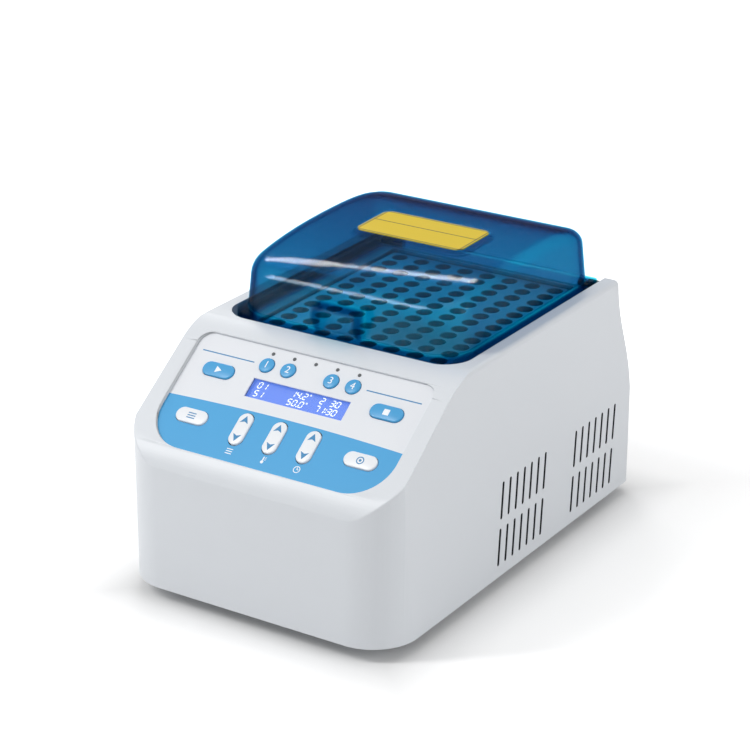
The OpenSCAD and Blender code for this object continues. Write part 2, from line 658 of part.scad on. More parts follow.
// Block and the stack under it
block_x = (columns - 1) * column_pitch / 2 + block_side;
block_y = (rows - 1) * row_pitch / 2 + block_end;
block_top = rim_z - block_drop;
block_z0 = block_top - block_h;
plate_top = block_z0 - block_gap;
module_z1 = plate_top - plate_t;
sink_top = module_z1 - module_t;
sink_z0 = sink_top - sink_t;
fin_z0 = sink_z0 - fin_h;
fin_pitch = 7;
fin_half = block_y - 12;
sensor_r = 2;
cutout_r = 7;
skirt_gap = 1;
skirt_w = 2.5;
module block_plan(grow, r) translate([0, block_cy])
    corners(block_x + grow, -block_y - grow, block_y + grow, r, r);
module well_frame() color([0.8, 0.82, 0.84]) difference() {
    union() {
        translate([0, 0, ledge_z - ledge_t]) linear_extrude(ledge_t) well_plan(-seat_gap);
        translate([0, 0, sink_top]) linear_extrude(ledge_z - sink_top) block_plan(skirt_gap + skirt_w, 4);
    }
    translate([0, 0, sink_top - 1]) linear_extrude(ledge_z - sink_top + 2) block_plan(skirt_gap, 2);
    rod_y(0, front_y, block_cy, module_z1 + plate_t / 2, sensor_r + 0.4);
}
module sample_block() color([0.78, 0.8, 0.82]) difference() {
    translate([0, 0, block_z0]) linear_extrude(block_h) block_plan(0, 2);
    for (c = [0:columns - 1], r = [0:rows - 1])
        translate([(c - (columns - 1) / 2) * column_pitch, block_cy + (r - (rows - 1) / 2) * row_pitch,
            block_top - well_depth]) cylinder(d = well_d, h = well_depth + 1, $fn = 32);
}
module heater_plate() color([0.74, 0.75, 0.77]) difference() {
    translate([0, 0, module_z1]) linear_extrude(plate_t) block_plan(0.2, 2);
    rod_y(0, front_y, block_cy - 20, module_z1 + plate_t / 2, sensor_r + 0.1);
}
module_ys = [-module_w / 2 - 8, module_w / 2 + 8];
module module_places() for (t = module_ys) translate([0, block_cy + t]) children();
cutout_x = module_w / 2 + 16;
module thermoelectric_modules() color([0.93, 0.93, 0.9]) translate([0, 0, sink_top])
    linear_extrude(module_t) module_places() square(module_w, center = true);
module insulation_pad() color([0.2, 0.2, 0.2]) translate([0, 0, sink_top]) linear_extrude(module_t)
    difference() {
    block_plan(0.2, 2);
    module_places() square(module_w + 2 * seat_gap, center = true);
    translate([cutout_x, block_cy]) circle(cutout_r + seat_gap);
}
module thermal_cutout() color([0.3, 0.3, 0.32]) translate([cutout_x, block_cy, sink_top])
    cylinder(r = cutout_r, h = module_t);
module heat_sink() color([0.6, 0.62, 0.64]) {
    translate([0, 0, sink_z0]) linear_extrude(sink_t) block_plan(skirt_gap + skirt_w + 1, 3);
    fins = floor((post_x - 8) / fin_pitch);
    for (i = [-fins:fins]) box(i * fin_pitch - fin_t / 2, i * fin_pitch + fin_t / 2,
        block_cy - fin_half, block_cy + fin_half, fin_z0, sink_z0 + e);
}
module support_posts() color([0.75, 0.76, 0.78]) post_places() translate([0, 0, floor_z]) difference() {
    cylinder(r = post_r, h = sink_z0 - floor_z);
    translate([0, 0, -1]) cylinder(r = post_bore, h = 9);
}
fan_z1 = fin_z0 - seat_gap;
fan_z0 = fan_z1 - fan_t;
fan_bore = fan_w / 2 - 1.8;
strut_h = 3;
strut_w = 4;
hub_r = 17;
shaft_r = 1.5;
blades = 7;
blade_t = 1.6;
module fan_frame() color([0.1, 0.1, 0.1]) translate([0, block_cy, fan_z0]) difference() {
    union() {
        difference() {
            linear_extrude(fan_t) corners(fan_w / 2, -fan_w / 2, fan_w / 2, 4, 4);
            translate([0, 0, -1]) cylinder(r = fan_bore, h = fan_t + 2, $fn = 64);
        }
        for (a = [0, 90]) rotate(a + 45) translate([-fan_bore - 1, -strut_w / 2, 0])
            cube([2 * fan_bore + 2, strut_w, strut_h]);
        cylinder(r = hub_r - 1, h = strut_h);
    }
    translate([0, 0, -1]) cylinder(r = shaft_r + run_gap, h = 9);
    for (s = [-1, 1], t = [-1, 1]) translate([s * fan_hole, t * fan_hole, -1]) cylinder(r = 2.1, h = fan_t + 2);
}
module fan_rotor() color([0.16, 0.16, 0.17]) translate([0, block_cy, fan_z0]) {
    translate([0, 0, 0.4]) cylinder(r = shaft_r, h = strut_h + 1);
    translate([0, 0, strut_h + 0.6]) cylinder(r = hub_r, h = fan_t - strut_h - 2);
    intersection() {
        difference() {
            translate([0, 0, strut_h + 1]) cylinder(r = fan_bore - 0.9, h = fan_t - strut_h - 3);
            cylinder(r = hub_r - 0.5, h = fan_t);
        }
        for (i = [1:blades]) rotate(i * 360 / blades)
            translate([(hub_r + fan_bore) / 2, 0, (fan_t + strut_h) / 2])
            rotate([38, 0, 0]) cube([fan_bore - hub_r + 5, blade_t, 40], center = true);
    }
}
module fan_screws() color("silver") fan_places() translate([0, 0, fan_z0 - 2]) screw(1.8, fan_t + 2, 3.4, 2);
module temperature_sensor() color("silver") rod_y(0, block_cy - block_y - 18, block_cy - 24,
    module_z1 + plate_t / 2, sensor_r);

// Film, display and boards behind the sloping panel
module panel_film() color([0.92, 0.94, 0.95]) on_panel() translate([0, 0, -film_t]) linear_extrude(film_t)
    difference() {
    panel_plan(0);
    key_holes();
    translate([0, -window_drop]) square([window_w, window_h], center = true);
}
module display_window() color([0.5, 0.7, 0.95, 0.5]) on_panel() translate([0, -window_drop, -film_t - window_t])
    linear_extrude(window_t) square([window_w + 2 * window_lip, window_h + 2 * window_lip], center = true);
module display_module() color([0.2, 0.45, 0.85]) on_panel() {
    translate([0, -window_drop - 2.3, board_n]) linear_extrude(seat_n - 0.4 - board_n)
        square([window_w + 8, window_h + 8.6], center = true);
    translate([0, -window_drop, seat_n - 0.5]) linear_extrude(1)
        square([window_w + 1.6, window_h + 1.6], center = true);
}
module control_board() color([0.1, 0.4, 0.25]) on_panel() translate([0, 0, board_n - board_t])
    linear_extrude(board_t) difference() {
        translate([-panel_w / 2 + 4, 5 - panel_down]) square([panel_w - 8, panel_down - 4]);
        for (s = [-1, 1], h = board_holes) translate([s * h[0], h[1]]) circle(1.5);
    }
module control_board_screws() color("silver") on_panel() for (s = [-1, 1], h = board_holes)
    translate([s * h[0], h[1], board_n - board_t - 1.8]) screw(1.05, 8, 2.4, 1.8);
switch_body_w = 6;
switch_body_h = 1.6;
plunger_r = 1.7;
switch_spots = concat(
    [for (x = row_keys) [x, -round_key_drop]],
    [for (s = [-1, 1], v = [upper_key_drop, lower_key_drop]) [s * long_key_x, -v]],
    [for (i = [-1, 0, 1], t = [-1, 1]) [i * rocker_pitch, -lower_key_drop + t * 6]]);
module tact_switches() color([0.2, 0.2, 0.2]) on_panel() for (p = switch_spots)
    translate([p[0], p[1], board_n]) {
    linear_extrude(switch_body_h) square(switch_body_w, center = true);
    cylinder(r = plunger_r, h = stem_n - press_gap - board_n);
}
module lamps() color([0.25, 0.25, 0.25]) on_panel() lamp_places() translate([0, 0, board_n])
    cylinder(r = lamp_r, h = 0.2 - board_n);

// One sprung key: cap, retaining flange and stem
flange_lip = 0.7;
flange_n = seat_n - 1.4;
flange_t = 1;
stem_w = 4.4;
stem_l = 12;
stem_h = 2.4;
module round_key(x) color([0.24, 0.63, 0.84]) on_panel() translate([x, -round_key_drop, 0]) {
    translate([0, 0, flange_n]) cylinder(d = round_key_d + 2 * flange_lip, h = flange_t);
    translate([0, 0, seat_n - 1]) cylinder(d = round_key_d, h = key_rise - seat_n + 1);
    translate([0, 0, stem_n]) cylinder(d = stem_w, h = stem_h);
}
module long_key(x, v, tint) color(tint) on_panel() translate([x, -v, 0]) {
    translate([0, 0, flange_n]) linear_extrude(flange_t)
        stadium(long_key_l + 2 * flange_lip, long_key_w + 2 * flange_lip);
    translate([0, 0, seat_n - 1]) linear_extrude(key_rise - seat_n + 1) stadium(long_key_l, long_key_w);
    translate([0, 0, stem_n]) linear_extrude(stem_h) stadium(stem_l, stem_w);
}
module programme_key_1() round_key(row_keys[0]);
module programme_key_2() round_key(row_keys[1]);
module programme_key_3() round_key(row_keys[2]);
module programme_key_4() round_key(row_keys[3]);
module start_key() long_key(-long_key_x, upper_key_drop, [0.24, 0.63, 0.84]);
module stop_key() long_key(long_key_x, upper_key_drop, [0.24, 0.63, 0.84]);
module option_key() long_key(-long_key_x, lower_key_drop, [0.95, 0.96, 0.97]);
module mode_key() long_key(long_key_x, lower_key_drop, [0.95, 0.96, 0.97]);
module rocker_key(i) color([0.95, 0.96, 0.97]) on_panel() translate([i * rocker_pitch, -lower_key_drop, 0]) {
    translate([0, 0, seat_n + 0.7]) linear_extrude(key_rise - seat_n - 0.7) rotate(90)
        stadium(long_key_l, long_key_w);
    translate([0, 0, stem_n]) linear_extrude(seat_n + 1 - stem_n) square([6, 15], center = true);
    translate([0, 0, rocker_axle_n]) rotate([0, 90, 0])
        cylinder(r = axle_r, h = 2 * (ear_x + ear_w) - 0.6, center = true);
}
module programme_rocker() rocker_key(-1);
module temperature_rocker() rocker_key(0);
module time_rocker() rocker_key(1);

// Power board
standoff_h = 6;
standoff_r = 3;
board_z = floor_z + standoff_h;
board_edge = 6;
core_x = 24;
core_l = 46;
core_d = 38;
core_h = 32;
coil_l = 34;
coil_h = 24;
can_x = 22;
can_r = 8;
can_h = 28;
can_pitch = 18;
module board_standoffs() color("silver") standoff_places() translate([0, 0, floor_z]) difference() {
    cylinder(r = standoff_r, h = standoff_h);
    translate([0, 0, -1]) cylinder(r = 1.2, h = standoff_h + 2);
}
module power_board() color([0.1, 0.4, 0.25]) difference() {
    box(-standoff_x - board_edge, standoff_x + board_edge, standoff_ys[0] - board_edge,
        standoff_ys[1] + board_edge, board_z, board_z + board_t);
    standoff_places() cylinder(r = screw_hole - 0.2, h = 40);
}
module transformer() color([0.75, 0.65, 0.3])
    translate([-core_x, (standoff_ys[0] + standoff_ys[1]) / 2, board_z + board_t]) {
    translate([0, 0, core_h / 2]) {
        cube([core_l, core_d, core_h], center = true);
        cube([coil_l, core_d + 8, coil_h], center = true);
    }
}
module capacitors() color([0.15, 0.2, 0.35]) for (i = [0:2])
    translate([can_x + (i % 2) * can_x, standoff_ys[0] + 4 + i * can_pitch, board_z + board_t])
        cylinder(r = can_r, h = can_h);

housing();
floor_plate();
rubber_feet();
foot_screws();
floor_screws();
rear_panel();
power_inlet();
inlet_contacts();
fuse_drawer();
inlet_screws();
switch_frame();
switch_rocker();
cover();
cover_plate();
hinge_brackets();
hinge_pins();
well_frame();
sample_block();
heater_plate();
thermoelectric_modules();
insulation_pad();
heat_sink();
support_posts();
fan_frame();
fan_rotor();
fan_screws();
temperature_sensor();
thermal_cutout();
panel_film();
display_window();
display_module();
control_board();
control_board_screws();
tact_switches();
lamps();
programme_key_1();
programme_key_2();
programme_key_3();
programme_key_4();
start_key();
stop_key();
option_key();
mode_key();
programme_rocker();
temperature_rocker();
time_rocker();
power_board();
transformer();
capacitors();
board_standoffs();
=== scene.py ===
import math

import bmesh
import bpy
from mathutils import Matrix, Vector


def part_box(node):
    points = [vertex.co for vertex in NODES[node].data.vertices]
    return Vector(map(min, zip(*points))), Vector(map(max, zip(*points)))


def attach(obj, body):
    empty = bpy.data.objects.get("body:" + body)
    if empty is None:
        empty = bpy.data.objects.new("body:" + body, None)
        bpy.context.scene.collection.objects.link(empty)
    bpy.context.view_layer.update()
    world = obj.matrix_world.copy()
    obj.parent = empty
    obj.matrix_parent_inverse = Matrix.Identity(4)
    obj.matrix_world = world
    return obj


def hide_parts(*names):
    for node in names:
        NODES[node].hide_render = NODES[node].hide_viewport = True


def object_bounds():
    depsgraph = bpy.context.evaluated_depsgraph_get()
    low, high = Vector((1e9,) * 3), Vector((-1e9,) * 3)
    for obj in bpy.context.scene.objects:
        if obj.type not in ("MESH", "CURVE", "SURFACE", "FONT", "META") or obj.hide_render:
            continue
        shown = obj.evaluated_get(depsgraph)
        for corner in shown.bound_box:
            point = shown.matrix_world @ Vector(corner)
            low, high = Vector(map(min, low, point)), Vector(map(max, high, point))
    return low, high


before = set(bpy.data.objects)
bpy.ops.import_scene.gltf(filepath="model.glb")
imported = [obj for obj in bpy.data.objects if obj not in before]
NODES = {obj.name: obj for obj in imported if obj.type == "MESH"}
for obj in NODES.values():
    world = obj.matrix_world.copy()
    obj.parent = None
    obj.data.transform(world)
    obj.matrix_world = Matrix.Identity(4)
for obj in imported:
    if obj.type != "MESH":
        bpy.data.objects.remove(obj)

bl_info = {
    "name": "Dry Block Heater",
    "version": (1, 0, 0),
    "blender": (4, 5, 0),
    "location": "View3D > Sidebar > Heater",
    "description": "Finishes the pieces of a benchtop dry block heater and lights them plainly",
    "category": "Object",
}

# The frame is in metres. Lengths named here are in millimetres, but those of PANEL_ORIGIN, of the
# distances that count as none and of the stage are in metres.
MM = 0.001
CAD_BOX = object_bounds()

# The sloping panel: x across, y up the slope, z outwards; the lamp row is y = 0.
PANEL_SLOPE = math.radians(36)
PANEL_ORIGIN = Vector((0, -0.0704, 0.1316))
PANEL = Matrix.Translation(PANEL_ORIGIN) @ Matrix.Rotation(PANEL_SLOPE, 4, "X")
ROUND_KEY_X = (-28, -14, 14, 28)
ROUND_KEY_Y = -7.8
LONG_KEY_X = 54.6
UPPER_KEY_Y = -18
LOWER_KEY_Y = -49
ROCKER_PITCH = 21.9
SCREEN_Y = -22.9

# How far the seat, the feet of the stems and the display's lit face lie under the panel film.
SEAT_DEPTH, STEM_DEPTH, SCREEN_DEPTH = 3.0, 6.1, 2.7

# Keys: length and width of the caps and stems, how far a cap stands over the film and reaches under
# its seat, and the flange that holds it there. A round key is a hair longer than it is wide.
ROUND_CAP, ROUND_STEM = (9.0, 8.999), (4.4, 4.399)
LONG_CAP, LONG_STEM = (20.2, 8.9), (12, 4.4)
KEY_RISE, KEY_SINK, STEM_HEIGHT = 1.0, 1.0, 1.75
FLANGE_LIP, FLANGE_SINK, FLANGE_HEIGHT = 0.7, 1.4, 0.95
CAP_STEPS, STEM_STEPS, RIM_STEPS = 50, 26, 3

# Rocking keys: how far the cap's foot lies over the seat, the block under it and its axle.
ROCKER_LIFT = 0.7
ROCKER_BLOCK = Vector((6, 15, 4.1))
AXLE_R, AXLE_LENGTH, AXLE_SINK = 1.0, 13.5, 1.7

# The panel's print: the foot and bow of the pale part and how fast its edge fades, the two rules
# beside the round keys, and the row of signs.
BAND_TOP, BAND_BOW, BAND_EDGE = -36.6, 0.00035, 12.0
RULE_FROM, RULE_TO, RULE_Y, RULE_WIDE = 36.5, 71, -7.7, 0.7
SIGN_ROW_Y = -63.2
NUMBER_SIZE = 6.0

# What the display shows, with the lower left corner of each group from the display's middle.
SHOWN = (
    ("01", -28.5, 1.6), ("14.2'", -6.6, 1.6), ("2 30", 12.2, 1.6),
    ("51", -28.5, -3.7), ("50.0'", -6.6, -3.7), ("71:30", 11.4, -3.7),
)
FIGURE_LIFT, FIGURE_THICK = 0.51, 0.05

# Which strokes of a seven-stroke figure are lit. From a to g they are the top, upper right, lower
# right, bottom, lower left, upper left and middle one, with their ends as shares of the figure.
STROKES = {
    " ": "", "0": "abcdef", "1": "bc", "2": "abged", "3": "abgcd", "4": "fgbc", "5": "afgcd",
    "7": "abc",
}
STROKE_ENDS = {
    "a": (0, 1, 1, 1), "b": (1, 0.5, 1, 1), "c": (1, 0, 1, 0.5), "d": (0, 0, 1, 0),
    "e": (0, 0, 0, 0.5), "f": (0, 0.5, 0, 1), "g": (0, 0.5, 1, 0.5),
}
POINT_LEVELS = {".": (0.0,), ":": (0.25, 0.62)}

# The blank plate's print: its border's inset, half a line's width, and the place of its dividing
# line as a share of half its depth.
PLATE_INSET, PLATE_LINE, PLATE_DIVIDER = 1.2, 0.35, 0.12

# Faces of a CAD node that turn by less than this are one flat face.
FLAT_ANGLE = math.radians(0.5)

# Distances that count as none: where a CAD copy is merged, for an edge, between levels, at a cut.
MERGE, EDGE, LEVEL, CUT = 0.000002, 0.000001, 0.000001, 0.0000001

# A face looks up, or lies flat, where its normal rises by more than this.
LOOKS_UP, LIES_FLAT = 0.9, 0.5

# The housing's round front corners, and the crease over them that is rounded off.
CORNER_X, CORNER_Y, CORNER_R, CORNER_Z = 61.0, -108.0, 28.0, 80.0
ON_CORNER = 0.1
MELT_R, MELT_STEPS = 4.0, 5
CREASE_LOW, CREASE_HIGH = math.radians(12), math.radians(80)

# Where the painted shade on the vents' inner walls starts, and the lean of the side wall there.
SIDE_X, SIDE_LEAN, SIDE_Z = 89.0, 0.0227, 8.0
VENT_SHADE_SKIN = 0.12
VENT_SHADE_Z, VENT_SHADE_Y = (12.0, 68.0), (-38.0, 124.0)

# The clear cover's plastic: the share of its skin that is solid and carries its gloss, and how much
# light it takes up, per metre.
COVER_SOLID, COVER_DENSITY = 0.06, 1400.0

# The clear cover's shell: its plan, the foot of its walls and how far they reach under it, its
# corner radii, its wall and how much its sides and its front and rear lean in per millimetre of
# height.
DOME_X, DOME_FRONT, DOME_REAR, DOME_FOOT, DOME_LAP = 72.5, -46.0, 108.0, 141.0, 0.2
DOME_FRONT_R, DOME_REAR_R, DOME_WALL = 21.0, 12.0, 2.5
DOME_FRONT_STEPS, DOME_REAR_STEPS = 14, 8
SIDE_IN, FRONT_IN = 0.06, 0.11

# Its brow, which is rounded, and its arched top. The top's height is read from ABOVE_ALL down onto
# the CAD cover at CROWN_X, and its slope at either end over CROWN_REACH. It is cut into strips from
# CROWN_START behind the front brow to CROWN_END before the rear one.
BROW_R, BROW_STEPS, BROW = 7.5, 10, 18.0
CROWN_X, CROWN_REACH, CROWN_STRIPS = 45.0, 3.0, 30
CROWN_START, CROWN_END = 4.3, 3.7
ABOVE_ALL = 300.0

# The pocket of the blank plate in the cover's top.
POCKET_RIM, POCKET_R, POCKET_STEPS, POCKET_D, POCKET_SLOPE = 1.2, 6.0, 4, 1.3, 0.3

# The cover's flange and grip, cut from the CAD cover: the cuts' distance from the shell's foot and
# front, and how far the grip is drawn into the front wall.
CUT_GAP, GRIP_GAP, GRIP_REACH = 0.1, 0.2, 2.4

# The stage: the camera, the room's light, and the paper on the bench, whose painted light grows by
# the last number between two distances beside the heater.
CAMERA_PLACE = (0.71059, -1.11084, 0.64322)
CAMERA_DOWN, CAMERA_TURN = 22.342, 32.889
CAMERA_LENS = 121.08
ROOM_LIGHT = 0.45
PAPER_TONE, PAPER_ROUGH, PAPER_HALF, PAPER_SINK = 0.9, 0.9, 4.0, 0.0002
PAPER_PAINTED_LIGHT = ((-0.006, 0.03, 0.26), (0.03, 0.25, 0.4))

# Its area lamps: place, what they aim at, size and power.
LAMPS = {
    "left_softbox": ((-0.9, -0.9, 1.3), (0, 0, 0.1), (0.24, 0.9), 11.8),
    "top_softbox": ((0.15, 0.1, 1.5), (0, 0, 0.1), (0.9, 0.7), 3.4),
    "right_fill": ((1.4, 0.1, 0.6), (0, 0, 0.08), (0.6, 0.6), 3.6),
    "rear_strip": ((-0.72, 0.8, 1.05), (0, 0, 0.17), (0.5, 0.05), 2.2),
}


def srgb(r, g, b):
    """A colour given as 0 to 255 values, in the linear values that shaders take."""
    shares = [value / 255 for value in (r, g, b)]
    return tuple(c / 12.92 if c <= 0.04045 else ((c + 0.055) / 1.055) ** 2.4 for c in shares)


# ---- settings


class HeaterFinish(bpy.types.PropertyGroup):
    """Colours of the heater's finishes"""

    housing: bpy.props.FloatVectorProperty(
        name="Housing", description="Moulded plastic of the housing", subtype="COLOR",
        min=0, max=1, default=srgb(220, 224, 229))
    film: bpy.props.FloatVectorProperty(
        name="Film", description="Pale part of the panel film", subtype="COLOR",
        min=0, max=1, default=srgb(230, 233, 238))
    band: bpy.props.FloatVectorProperty(
        name="Band", description="Lower, blue part of the panel film", subtype="COLOR",
        min=0, max=1, default=srgb(62, 162, 218))
    key_blue: bpy.props.FloatVectorProperty(
        name="Blue keys", description="Round keys and the two upper keys", subtype="COLOR",
        min=0, max=1, default=srgb(58, 158, 214))
    key_pale: bpy.props.FloatVectorProperty(
        name="Pale keys", description="Lower keys and rocking keys", subtype="COLOR",
        min=0, max=1, default=srgb(238, 241, 245))
    screen: bpy.props.FloatVectorProperty(
        name="Screen", description="Lit background of the display", subtype="COLOR",
        min=0, max=1, default=srgb(70, 128, 248))
    cover: bpy.props.FloatVectorProperty(
        name="Cover", description="Light that the clear cover lets through", subtype="COLOR",
        min=0, max=1, default=(0.0, 0.83, 0.898))
    plate: bpy.props.FloatVectorProperty(
        name="Plate", description="Blank plate on the cover", subtype="COLOR",
        min=0, max=1, default=srgb(212, 184, 22))
    block: bpy.props.FloatVectorProperty(
        name="Block", description="Anodised block", subtype="COLOR",
        min=0, max=1, default=srgb(222, 227, 230))


class HeaterTrim(bpy.types.PropertyGroup):
    """Small sizes of the heater's trim"""

    smooth_angle: bpy.props.FloatProperty(
        name="Smooth angle", description="Edges flatter than this are shaded smooth",
        subtype="ANGLE", default=math.radians(32))
    key_edge: bpy.props.FloatProperty(
        name="Key edge", description="Rounding of a key's rim", unit="LENGTH", default=0.0006)
    print_height: bpy.props.FloatProperty(
        name="Print height", description="Thickness of a printed mark",
        unit="LENGTH", default=0.00004)
    figure_height: bpy.props.FloatProperty(
        name="Figure height", description="Height of a figure on the display",
        unit="LENGTH", default=0.0042)
    screen_glow: bpy.props.FloatProperty(
        name="Screen glow", description="Strength of the display's own light", default=0.55)


def finish_of():
    """The scene's colours."""
    return bpy.context.scene.heater_finish


def trim_of():
    """The scene's small sizes."""
    return bpy.context.scene.heater_trim


# ---- shader groups


def put(tree, slot, value):
    """Feeds a socket from another one, or gives it a plain number or colour."""
    if isinstance(value, bpy.types.NodeSocket):
        tree.links.new(value, slot)
    elif slot.type == "RGBA":
        slot.default_value = (*value, 1)
    else:
        slot.default_value = value


def math_node(tree, operation, first, second=None, clamp=False):
    """A Math node fed by sockets or plain numbers; returns its output."""
    node = tree.nodes.new("ShaderNodeMath")
    node.operation = operation
    node.use_clamp = clamp
    put(tree, node.inputs[0], first)
    if second is not None:
        put(tree, node.inputs[1], second)
    return node.outputs[0]


def axes_of(tree, vector):
    """The three parts of a vector."""
    node = tree.nodes.new("ShaderNodeSeparateXYZ")
    put(tree, node.inputs[0], vector)
    return node.outputs


def noise_node(tree, vector, scale, detail):
    """A noise over a vector; returns its value."""
    node = tree.nodes.new("ShaderNodeTexNoise")
    put(tree, node.inputs["Vector"], vector)
    put(tree, node.inputs["Scale"], scale)
    put(tree, node.inputs["Detail"], detail)
    return node.outputs["Fac"]


def bump_node(tree, height, distance):
    """A bump at full strength; returns its normal."""
    node = tree.nodes.new("ShaderNodeBump")
    put(tree, node.inputs["Height"], height)
    put(tree, node.inputs["Distance"], distance)
    put(tree, node.inputs["Strength"], 1.0)
    return node.outputs["Normal"]


def mapping_node(tree, vector, **values):
    """A turned or stretched copy of a vector."""
    node = tree.nodes.new("ShaderNodeMapping")
    put(tree, node.inputs["Vector"], vector)
    for label, value in values.items():
        put(tree, node.inputs[label], value)
    return node.outputs[0]


def mix_shader(tree, share, first, second):
    """One shader, and a share of a second one."""
    node = tree.nodes.new("ShaderNodeMixShader")
    for slot, value in zip(node.inputs, (share, first, second)):
        put(tree, slot, value)
    return node.outputs[0]


def shader_group(name, inputs, outputs):
    """A new node group with these sockets; returns it, what it is given and what it puts out."""
    tree = bpy.data.node_groups.new(name, "ShaderNodeTree")
    tree.interface.new_socket("Place", in_out="INPUT", socket_type="NodeSocketVector")
    for label, value in inputs.items():
        kind = "NodeSocketColor" if isinstance(value, tuple) else "NodeSocketFloat"
        socket = tree.interface.new_socket(label, in_out="INPUT", socket_type=kind)
        socket.default_value = value
    for label, kind in outputs.items():
        tree.interface.new_socket(label, in_out="OUTPUT", socket_type="NodeSocket" + kind)
    given, out = tree.nodes.new("NodeGroupInput"), tree.nodes.new("NodeGroupOutput")
    return tree, given.outputs, out.inputs


def uneven_skin(tree, given, out, height, swing):
    """Puts out a bump from one noise, and the given roughness moved up and down by another."""
    off = math_node(tree, "MULTIPLY", math_node(tree, "SUBTRACT", swing, 0.5), given["Spread"])
    put(tree, out["Roughness"], math_node(tree, "ADD", given["Roughness"], off, clamp=True))
    put(tree, out["Normal"], bump_node(tree, height, given["Depth"]))


def grain_group():
    """Moulded or cast grain: a fine bump and a roughness that changes slowly."""
    name = "Moulding grain"
    if name not in bpy.data.node_groups:
        tree, given, out = shader_group(
            name, {"Scale": 1600.0, "Depth": 0.00002, "Roughness": 0.45, "Spread": 0.12},
            {"Roughness": "Float", "Normal": "Vector"})
        fine = noise_node(tree, given["Place"], given["Scale"], 4.0)
        broad = noise_node(tree, given["Place"], 22.0, 2.0)
        uneven_skin(tree, given, out, fine, broad)
    return bpy.data.node_groups[name]


def brushed_group():
    """Drawn or milled metal: long fine scratches along X."""
    name = "Brushed lines"
    if name not in bpy.data.node_groups:
        tree, given, out = shader_group(
            name, {"Depth": 0.00001, "Roughness": 0.35, "Spread": 0.2},
            {"Roughness": "Float", "Normal": "Vector"})
        lines = noise_node(tree, mapping_node(tree, given["Place"], Scale=(20, 900, 900)), 1.0, 3.0)
        uneven_skin(tree, given, out, lines, lines)
    return bpy.data.node_groups[name]


def drift_group():
    """A slow change of tone over a surface, as resin and print have."""
    name = "Tone drift"
    if name not in bpy.data.node_groups:
        tree, given, out = shader_group(
            name, {"Colour": (1, 1, 1, 1), "Drift": 0.04, "Scale": 14.0}, {"Colour": "Color"})
        slow = noise_node(tree, given["Place"], given["Scale"], 3.0)
        off = math_node(tree, "MULTIPLY", math_node(tree, "SUBTRACT", slow, 0.5), given["Drift"])
        scale = tree.nodes.new("ShaderNodeVectorMath")
        scale.operation = "SCALE"
        put(tree, scale.inputs[0], given["Colour"])
        put(tree, scale.inputs["Scale"], math_node(tree, "ADD", 1.0, off))
        put(tree, out["Colour"], scale.outputs[0])
    return bpy.data.node_groups[name]


def panel_place_group():
    """Where a point lies on the sloping panel, in millimetres from the middle of the lamp row."""
    name = "Panel place"
    if name not in bpy.data.node_groups:
        labels = ("Across", "Up", "Out")
        tree, given, out = shader_group(name, {}, dict.fromkeys(labels, "Float"))
        move = tree.nodes.new("ShaderNodeVectorMath")
        move.operation = "SUBTRACT"
        put(tree, move.inputs[0], given["Place"])
        put(tree, move.inputs[1], PANEL_ORIGIN)
        turned = mapping_node(tree, move.outputs[0], Rotation=(-PANEL_SLOPE, 0, 0))
        for label, part in zip(labels, axes_of(tree, turned)):
            put(tree, out[label], math_node(tree, "MULTIPLY", part, 1 / MM))
    return bpy.data.node_groups[name]


# ---- materials


class Finish:
    """A material with its Principled shader and its Object coordinates ready to use."""

    def __init__(self, name):
        self.material = bpy.data.materials.new(name)
        self.material.use_nodes = True
        self.tree = self.material.node_tree
        self.shader = self.tree.nodes["Principled BSDF"]
        self.output = self.tree.nodes["Material Output"]
        self.place = self.tree.nodes.new("ShaderNodeTexCoord").outputs["Object"]

    def add(self, group, **values):
        """Puts in a shader group with its own values; returns what it puts out."""
        node = self.tree.nodes.new("ShaderNodeGroup")
        node.node_tree = group
        put(self.tree, node.inputs["Place"], self.place)
        for label, value in values.items():
            put(self.tree, node.inputs[label], value)
        return node.outputs

    def feed(self, **values):
        """Feeds or sets inputs of the shader, with an underscore for a space in their names."""
        for label, value in values.items():
            put(self.tree, self.shader.inputs[label.replace("_", " ")], value)

    def tone(self, colour, **values):
        """A colour that drifts slowly over the surface."""
        return self.add(drift_group(), Colour=colour, **values)["Colour"]

    def skin(self, group, **values):
        """Takes the roughness and the normal from a shader group."""
        out = self.add(group, **values)
        self.feed(Roughness=out["Roughness"], Normal=out["Normal"])

    def math(self, operation, first, second=None, clamp=False):
        """A Math node of this material."""
        return math_node(self.tree, operation, first, second, clamp)

    def mix(self, mask, first, second):
        """Two colours, mixed by a mask."""
        node = self.tree.nodes.new("ShaderNodeMix")
        node.data_type = "RGBA"
        for label, value in (("Factor", mask), ("A", first), ("B", second)):
            put(self.tree, node.inputs[label], value)
        return node.outputs["Result"]


def moulded(name, colour, rough=0.45, grain=0.00002, scale=1600.0, drift=0.04, **shader):
    """Moulded plastic, rubber or ceramic, ink and paint."""
    made = Finish(name)
    made.feed(Base_Color=made.tone(colour, Drift=drift), **shader)
    made.skin(grain_group(), Scale=scale, Depth=grain, Roughness=rough)


def metal(name, colour, rough, drift=0.08):
    """Milled, drawn or plated metal."""
    made = Finish(name)
    made.feed(Base_Color=made.tone(colour, Drift=drift, Scale=30.0), Metallic=1.0)
    made.skin(brushed_group(), Roughness=rough)


